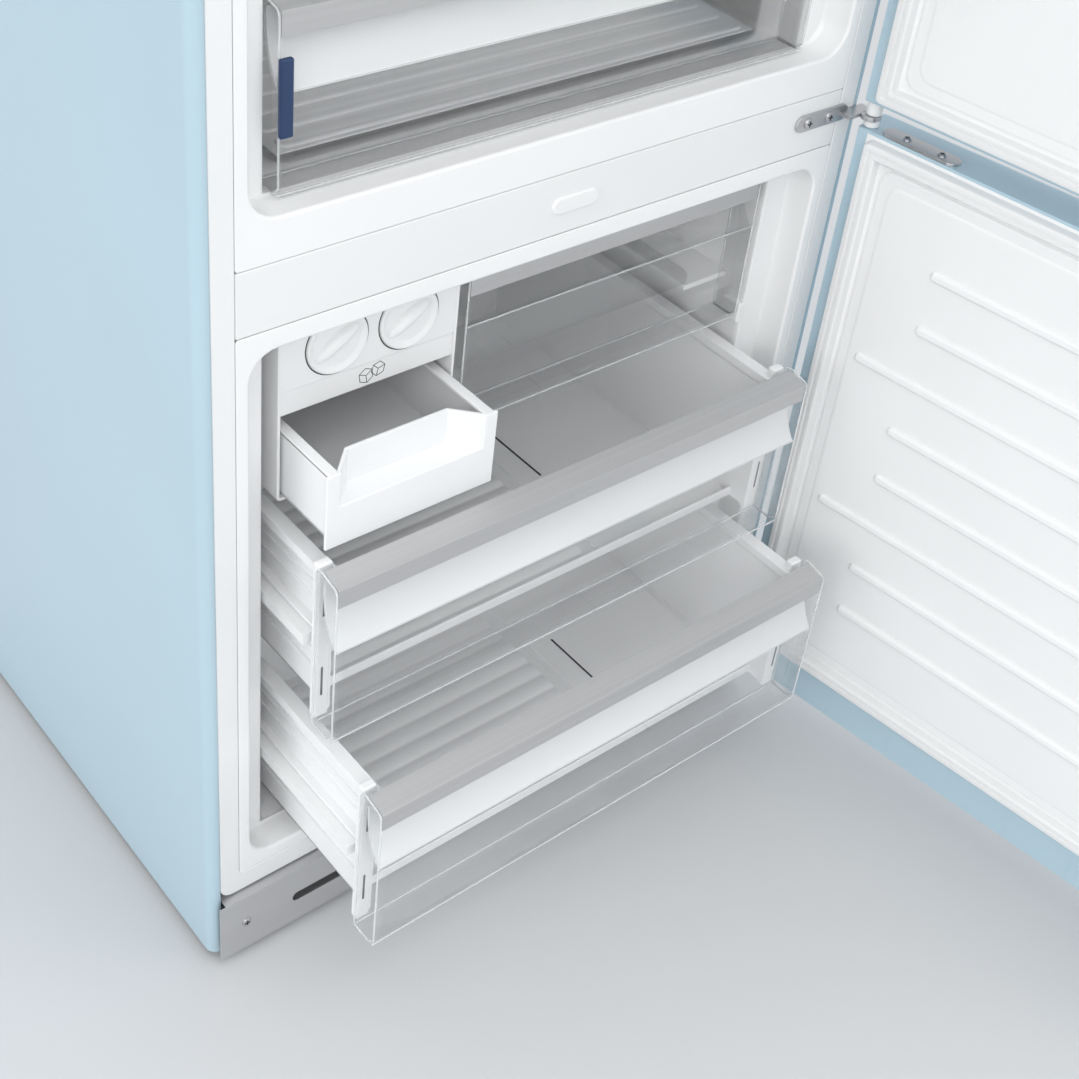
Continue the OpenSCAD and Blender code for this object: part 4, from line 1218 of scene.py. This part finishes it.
@dataclass
class Door:
    """A foam-filled door with its liner, seal and handle, shown as it stands open."""

    level: Level
    seal_bottom: float
    seal_top: float
    band_top: float
    thickness: float = 66.0
    half: float = 352.0
    gap: float = 12.0
    crown: float = 6000.0
    flat_rim: float = 30.0
    edge: float = 20.0
    seal_width: float = 17.0
    seal_half: float = 338.0
    bars: Sequence[tuple[float, bool]] = ()
    handle_inset: float = 80.0
    handle_stand: float = 32.0
    handle_span: Pair = (-320, -140)
    handle_radius: float = 9.0
    core_half: float = 324.0
    core_inset: float = 24.0
    body: str = field(init=False)
    pivot: Vector = field(init=False)
    angle: float = field(init=False)
    low: float = field(init=False)
    high: float = field(init=False)
    back: float = field(init=False)

    def __post_init__(self) -> None:
        """Takes the hinge and the height from the construction model."""
        self.body = self.level.value + "_door"
        self.pivot, self.angle = swing_of(self.body)
        self.low, self.high = (corner.z for corner in box_of(self.body + "_skin"))
        self.back = FRONT - self.gap

    def build(self) -> None:
        """Builds the door."""
        self.skin()
        self.inside()
        self.handle()
        self.core()

    def hang(self, shape: Shape, name: str, finish: Finish, replaces: Sequence[str] = ()) -> None:
        """Swings a shape open and makes the piece.

        Args:
            shape: the shape, as on the shut door.
            name: the piece's name without the door's.
            finish: its finish.
            replaces: the construction nodes that it stands for.
        """
        bmesh.ops.recalc_face_normals(shape.bm, faces=list(shape.bm.faces))
        shape.turned(self.pivot, self.angle)
        shape.done(f"{self.level.value}_{name}", finish, self.body, replaces)

    def bulge(self, x: float) -> float:
        """Returns how far the crowned front falls back at a place across the door."""
        return x ** 2 / (2 * self.crown)

    def core(self) -> None:
        """The foam inside, clear of the rounded skin."""
        front = self.back - self.thickness + 18
        shape = Shape().box((-self.core_half, front, self.low + self.core_inset),
                            (self.core_half, self.back - 3, self.high - self.core_inset), 12, 4)
        self.hang(shape, "foam_core", FOAM, [self.body + "_foam"])

    def skin(self) -> None:
        """The blue outer skin, crowned and rounded."""
        front = self.back - self.thickness
        shape = Shape()
        made = bmesh.ops.create_cube(shape.bm, size=1.0)["verts"]
        bmesh.ops.scale(shape.bm, vec=(2 * self.half, self.thickness, self.high - self.low), verts=made)
        bmesh.ops.translate(shape.bm, vec=(0, (front + self.back) / 2, (self.low + self.high) / 2), verts=made)
        rims = [e for e in shape.bm.edges if all(v.co.y < front + 1 for v in e.verts)]
        shape.soften(rims, self.edge, 6)
        others = [e for e in shape.bm.edges if all(v.co.y > self.back - 1 for v in e.verts)]
        shape.soften(others, 1.2, 2)
        for x in range(-300, 301, 50):
            bmesh.ops.bisect_plane(shape.bm, geom=shape.parts(), plane_co=(x, 0, 0), plane_no=(1, 0, 0))
        for vert in shape.bm.verts:
            share = max(0.0, min(1.0, (self.back - self.flat_rim - vert.co.y) / (self.thickness - self.flat_rim)))
            vert.co.y += share * self.bulge(vert.co.x)
        self.hang(shape, "skin_panel", BLUE_ENAMEL, [self.body + "_skin"])

    def inside(self) -> None:
        """The white liner with its panel, bars and seal."""
        y = self.back
        shape = Shape()
        shape.box((-341, y - 2, self.band_top), (341, y + 0.5, self.seal_top + 3), 0.5)
        seal = Ring(y, (-self.seal_half, self.seal_bottom), (self.seal_half, self.seal_top), 7)
        panel = seal.moved(y, self.seal_width + 4, 16)
        shape.loft(Across.Y, panel.through(y, [(0, 0), (1.4, 0.6), (2.4, 2.2), (2.6, 4)]))
        inner = panel.moved(y + 2.5, 15, 12)
        shape.loft(Across.Y, inner.through(y, [(2.5, -3), (3.1, -1.5), (3.4, 0), (3.4, 2)]))
        for z, long in self.bars:
            end = self.pivot.x - (50 if long else 105)
            shape.pill(Across.Y, y + 2.8, 4.0, (-self.seal_half + 70, z), (end, z + 11), 5.4, 3.6)
        self.hang(shape, "inner_panel", WHITE_LINER, [self.body + "_liner"])
        w = self.seal_width
        rings = seal.through(y, [(0, 0), (6.5, 0), (9.6, 1.6), (10.4, 3.4), (10.4, 6.4), (8.4, 7.6), (8.4, 9.2),
                                 (10.2, 10.4), (10.2, 13.4), (8.6, 15.6), (3, w - 0.4), (0, w)])
        gasket = Shape().loft(Across.Y, rings, closed=True, steps=5)
        self.hang(gasket, "seal", WHITE_SEAL, [self.body + "_gasket"])
        if self.level is Level.LOWER:
            grooves = Shape()
            for x in range(290, -236, -75):
                grooves.box((x, y - 0.2, self.low + 9), (x + 1.2, y + 0.35, self.band_top - 12), 0.2)
            self.hang(grooves, "band_ribs", BLUE_ENAMEL)

    def handle(self) -> None:
        """A bar handle on two posts."""
        z = self.low + self.handle_inset if self.level is Level.UPPER else self.high - self.handle_inset
        front = self.back - self.thickness
        y = front - self.handle_stand
        left, right = self.handle_span
        shape = Shape().rod((left, y, z), (right, y, z), self.handle_radius, 2.2, 40)
        for x in (left + 22, right - 22):
            foot = front + self.bulge(x)
            post = [(0.01, foot + 2), (13, foot + 2), (13, foot - 2), (11.6, foot - 3), (8, foot - 5),
                    (7, foot - 8), (7, y), (0.01, y)]
            shape.lathe((x, 0, z), Across.Y, post, 36)
        self.hang(shape, "bar_handle", HANDLE_METAL, [self.body + "_handle"])


@dataclass
class DoorBins:
    """The clear bins on the upper door and the ribs that hold them."""

    door: Door
    half: float = 253.7
    deep: float = 100.0
    height: float = 85.0
    count: int = 3
    pitch: float = 285.0
    wall_height: float = 815.0

    def build(self) -> None:
        """Builds the bins."""
        y = self.door.back
        start = box_of("upper_door_bins")[0].z
        walls = Shape()
        walls.box((254, y + 2, start - 10), (266, FRONT + 20, start + self.wall_height), 4, 3)
        walls.mirrored()
        self.door.hang(walls, "bin_walls", WHITE_LINER)
        bins, rims = Shape(), Shape()
        for i in range(self.count):
            z = start + i * self.pitch
            low, high = (-self.half, y + 3), (self.half, FRONT + self.deep)
            outer = Ring(z, low, high, 14)
            tall = self.height
            wall = [(0, 4), (3, 1), (tall - 2, 0), (tall, 0.8), (tall, 2.4), (5, 3.6), (3, 6)]
            bins.loft(Across.Z, outer.through(z, wall), steps=5)
            rim = Ring(z, (low[0] - 0.1, low[1]), (high[0] + 0.1, high[1]), 14)
            rims.loft(Across.Z, rim.through(z, [(tall - 9, 0), (tall, 0), (tall, 3.4), (tall - 9, 3.4)]),
                      closed=True, steps=5)
        self.door.hang(bins, "bins", CLEAR_PLASTIC, ["upper_door_bins"])
        self.door.hang(rims, "bin_rims", WHITE_MOULDING)


@dataclass
class Hinges:
    """The three hinge brackets, their bushes, the door stop and every screw."""

    plate: float = 3.0
    kick_screw_z: float = 48.0

    def build(self) -> None:
        """Builds the hinges."""
        px, py, _ = swing_of("lower_door")[0]
        low, high = box_of("mid_hinge")
        stop_low, _ = box_of("door_stop")
        arm = stop_low.z + 10
        shape = Shape()
        shape.pill(Across.Y, FRONT, -self.plate, (px - 83, arm - 8), (px - 14, arm + 8), 7.5, 0.8)
        shape.box((px - 26, py + 7, arm - 2), (px + 7.6, FRONT - 0.3, arm + 2), 0.7)
        shape.pill(Across.Z, arm - 2, 4, (px - 12, py - 8), (px + 7.8, py + 9), 7.6, 0.6)
        shape.rod((px, py, low.z), (px, py, high.z), 4, 0.8)
        shape.done("mid_bracket", HINGE_STEEL, "cabinet", ["mid_hinge"])
        heads, cross_shades = Shape(), Shape()
        for x in (px - 68, px - 40):
            cross_screw(heads, cross_shades, (x, FRONT - self.plate, arm), Across.Y, -1, 5.2)
        for x in (px - 89, px - 61):
            cross_screw(heads, cross_shades, (x, FRONT + 40, box_of("outer_shell")[1].z + self.plate), Across.Z, 1,
                        4.5)
        kick = box_of("kick_plate")[0].y
        for x in (-320.0, 320.0):
            cross_screw(heads, cross_shades, (x, kick, self.kick_screw_z), Across.Y, -1, 5)
        heads.done("screw_heads", HINGE_STEEL, "cabinet", ["fixing_screws"])
        # painted shade: dark crosses for the shade in the screws' cross recesses
        cross_shades.done("screw_cross_shades", BLACK_PAINT_AND_SHADE, "cabinet")
        self.bushes(px, py, arm)
        self.stop(px, py)
        for node in ("top_hinge", "bottom_hinge"):
            dress(node, HINGE_STEEL)

    def bushes(self, px: float, py: float, arm: float) -> None:
        """The white bush caps around the pins.

        Args:
            px: the pins' place across the fridge.
            py: the pins' depth.
            arm: the height of the middle bracket.
        """
        shape = Shape()
        low, high = box_of("hinge_bushes")
        split = box_of("door_stop")[0].z
        top = box_of("upper_door_skin")[0].z
        spans = ((low.z, low.z + 5.6), (split + 0.3, arm - 2.1), (arm + 2.1, top - 0.3), (high.z - 5.6, high.z))
        for z0, z1 in spans:
            sleeve = [(4.05, z0), (6.6, z0), (7.5, z0 + 0.9), (7.5, z1 - 0.9), (6.6, z1), (4.05, z1), (4.05, z0)]
            shape.lathe((px, py, 0), Across.Z, sleeve, 36)
        shape.done("pin_bushes", WHITE_MOULDING, "cabinet", ["hinge_bushes"])

    def stop(self, px: float, py: float) -> None:
        """The steel plate on top of the lower door.

        Args:
            px: the pins' place across the fridge.
            py: the pins' depth.
        """
        z = box_of("door_stop")[0].z
        angle = swing_of("lower_door")[1]
        shape = Shape().pill(Across.Z, z, self.plate, (px - 97, py - 10), (px - 15, py + 9), 9.3, 0.7)
        cross_shades = Shape()
        for x in (px - 40, px - 78):
            cross_screw(shape, cross_shades, (x, py, z + self.plate), Across.Z, 1, 4.4)
        shape.turned((px, py, 0), angle).done("stop_plate", HINGE_STEEL, "lower_door", ["door_stop"])
        # painted shade: dark crosses for the shade in the stop screws' cross recesses
        cross_shades.turned((px, py, 0), angle).done("stop_cross_shades", BLACK_PAINT_AND_SHADE, "lower_door")


# ---------- stage ----------


@dataclass(frozen=True)
class Lamp:
    """A soft square lamp, in metres and watts."""

    name: str
    place: Triple
    aim: Triple
    size: float
    power: float

    def build(self) -> None:
        """Hangs the lamp and points it at its aim."""
        lamp = bpy.data.lights.new(self.name, "AREA")
        lamp.energy = self.power
        lamp.size = self.size
        item = bpy.data.objects.new(self.name, lamp)
        item.location = self.place
        item.rotation_euler = (Vector(self.aim) - Vector(self.place)).to_track_quat("-Z", "Y").to_euler()
        bpy.context.scene.collection.objects.link(item)


LAMPS = (
    Lamp("key", (-2.2, -3.6, 3.2), (0, -0.2, 0.7), 2.6, 46),
    Lamp("side", (-4.4, -1.0, 1.7), (0.3, -0.6, 0.9), 2.8, 55),
    Lamp("fill", (2.8, -3.2, 2.2), (0, 0, 0.8), 2.4, 34),
    Lamp("over", (0.0, -0.9, 4.2), (0, 0, 0.9), 3.0, 36),
    Lamp("rear", (1.0, 3.6, 3.2), (0, 0, 0.9), 2.6, 45),
)


@dataclass
class Stage:
    """The floor, the light and the camera."""

    place: Triple = (-0.8507, -1.1984, 1.4106)
    yaw: float = 43.7
    pitch: float = -36.5
    roll: float = 7.2
    lens: float = 56.21
    shift_y: float = -0.1015
    sensor: float = 36.0
    floor_size: float = 9.0

    def build(self) -> None:
        """Builds the floor, lamps, world and camera."""
        self.floor()
        self.light()
        self.camera()
        bpy.context.scene.view_settings.view_transform = "Standard"

    def floor(self) -> None:
        """A plain pale floor."""
        mat = bpy.data.materials.new("floor_paint")
        mat.use_nodes = True
        shader = mat.node_tree.nodes["Principled BSDF"]
        shader.inputs["Base Color"].default_value = (0.62, 0.63, 0.64, 1)
        shader.inputs["Roughness"].default_value = 0.85
        bm = bmesh.new()
        bmesh.ops.create_grid(bm, x_segments=1, y_segments=1, size=self.floor_size)
        mesh = bpy.data.meshes.new("floor")
        bm.to_mesh(mesh)
        bm.free()
        mesh.materials.append(mat)
        floor = bpy.data.objects.new("floor", mesh)
        bpy.context.scene.collection.objects.link(floor)

    def light(self) -> None:
        """Soft studio lamps and an even pale world."""
        world = bpy.data.worlds.new("studio")
        world.use_nodes = True
        back = world.node_tree.nodes["Background"]
        back.inputs["Color"].default_value = (0.96, 0.98, 1.0, 1)
        back.inputs["Strength"].default_value = 0.8
        bpy.context.scene.world = world
        for lamp in LAMPS:
            lamp.build()

    def camera(self) -> None:
        """The camera at the viewing angle."""
        yaw, pitch, roll = (math.radians(a) for a in (self.yaw, self.pitch, self.roll))
        ahead = Vector((math.sin(yaw) * math.cos(pitch), math.cos(yaw) * math.cos(pitch), math.sin(pitch)))
        right = Vector((math.cos(yaw), -math.sin(yaw), 0))
        up = right.cross(ahead)
        right, up = (right * math.cos(roll) + up * math.sin(roll), -right * math.sin(roll) + up * math.cos(roll))
        data = bpy.data.cameras.new("camera")
        data.lens = self.lens
        data.sensor_width = self.sensor
        data.shift_y = self.shift_y
        data.clip_start = 0.05
        item = bpy.data.objects.new("camera", data)
        turn = Matrix((right, up, -ahead)).transposed()
        item.matrix_world = Matrix.Translation(self.place) @ turn.to_4x4()
        bpy.context.scene.collection.objects.link(item)
        bpy.context.scene.camera = item


def main() -> None:
    """Builds every sub-assembly in order."""
    logging.basicConfig(level=logging.INFO, format="%(message)s")
    Stage().build()
    Cabinet().build()
    Compartments().build()
    for name in (Level.LOWER.value, Level.MIDDLE.value):
        body = name + "_drawer"
        ClearFront(name + "_front", name + "_strip", name, body).build()
        Tub(name + "_tub", name + "_tub", body).build()
        dress(name + "_runners", WHITE_MOULDING)
    IceMaker().build()
    ClearFront("flap_panel", "flap_strip", "flap", "flap", flat=104, recess_finish=CLEAR_PLASTIC).build()
    Crisper().build()
    rail = box_of("mid_rail")
    kick_top = box_of("kick_plate")[1].z
    bars = [(205.0 + 60 * i, i % 3 == 2) for i in range(8)]
    Door(Level.LOWER, kick_top + 22, rail[0].z + 17.5, kick_top + 19, bars=bars).build()
    upper = Door(Level.UPPER, rail[1].z - 1, box_of("front_frame")[1].z - 4, rail[1].z - 3)
    upper.build()
    DoorBins(upper).build()
    Hinges().build()


if __name__ == "__main__":
    main()
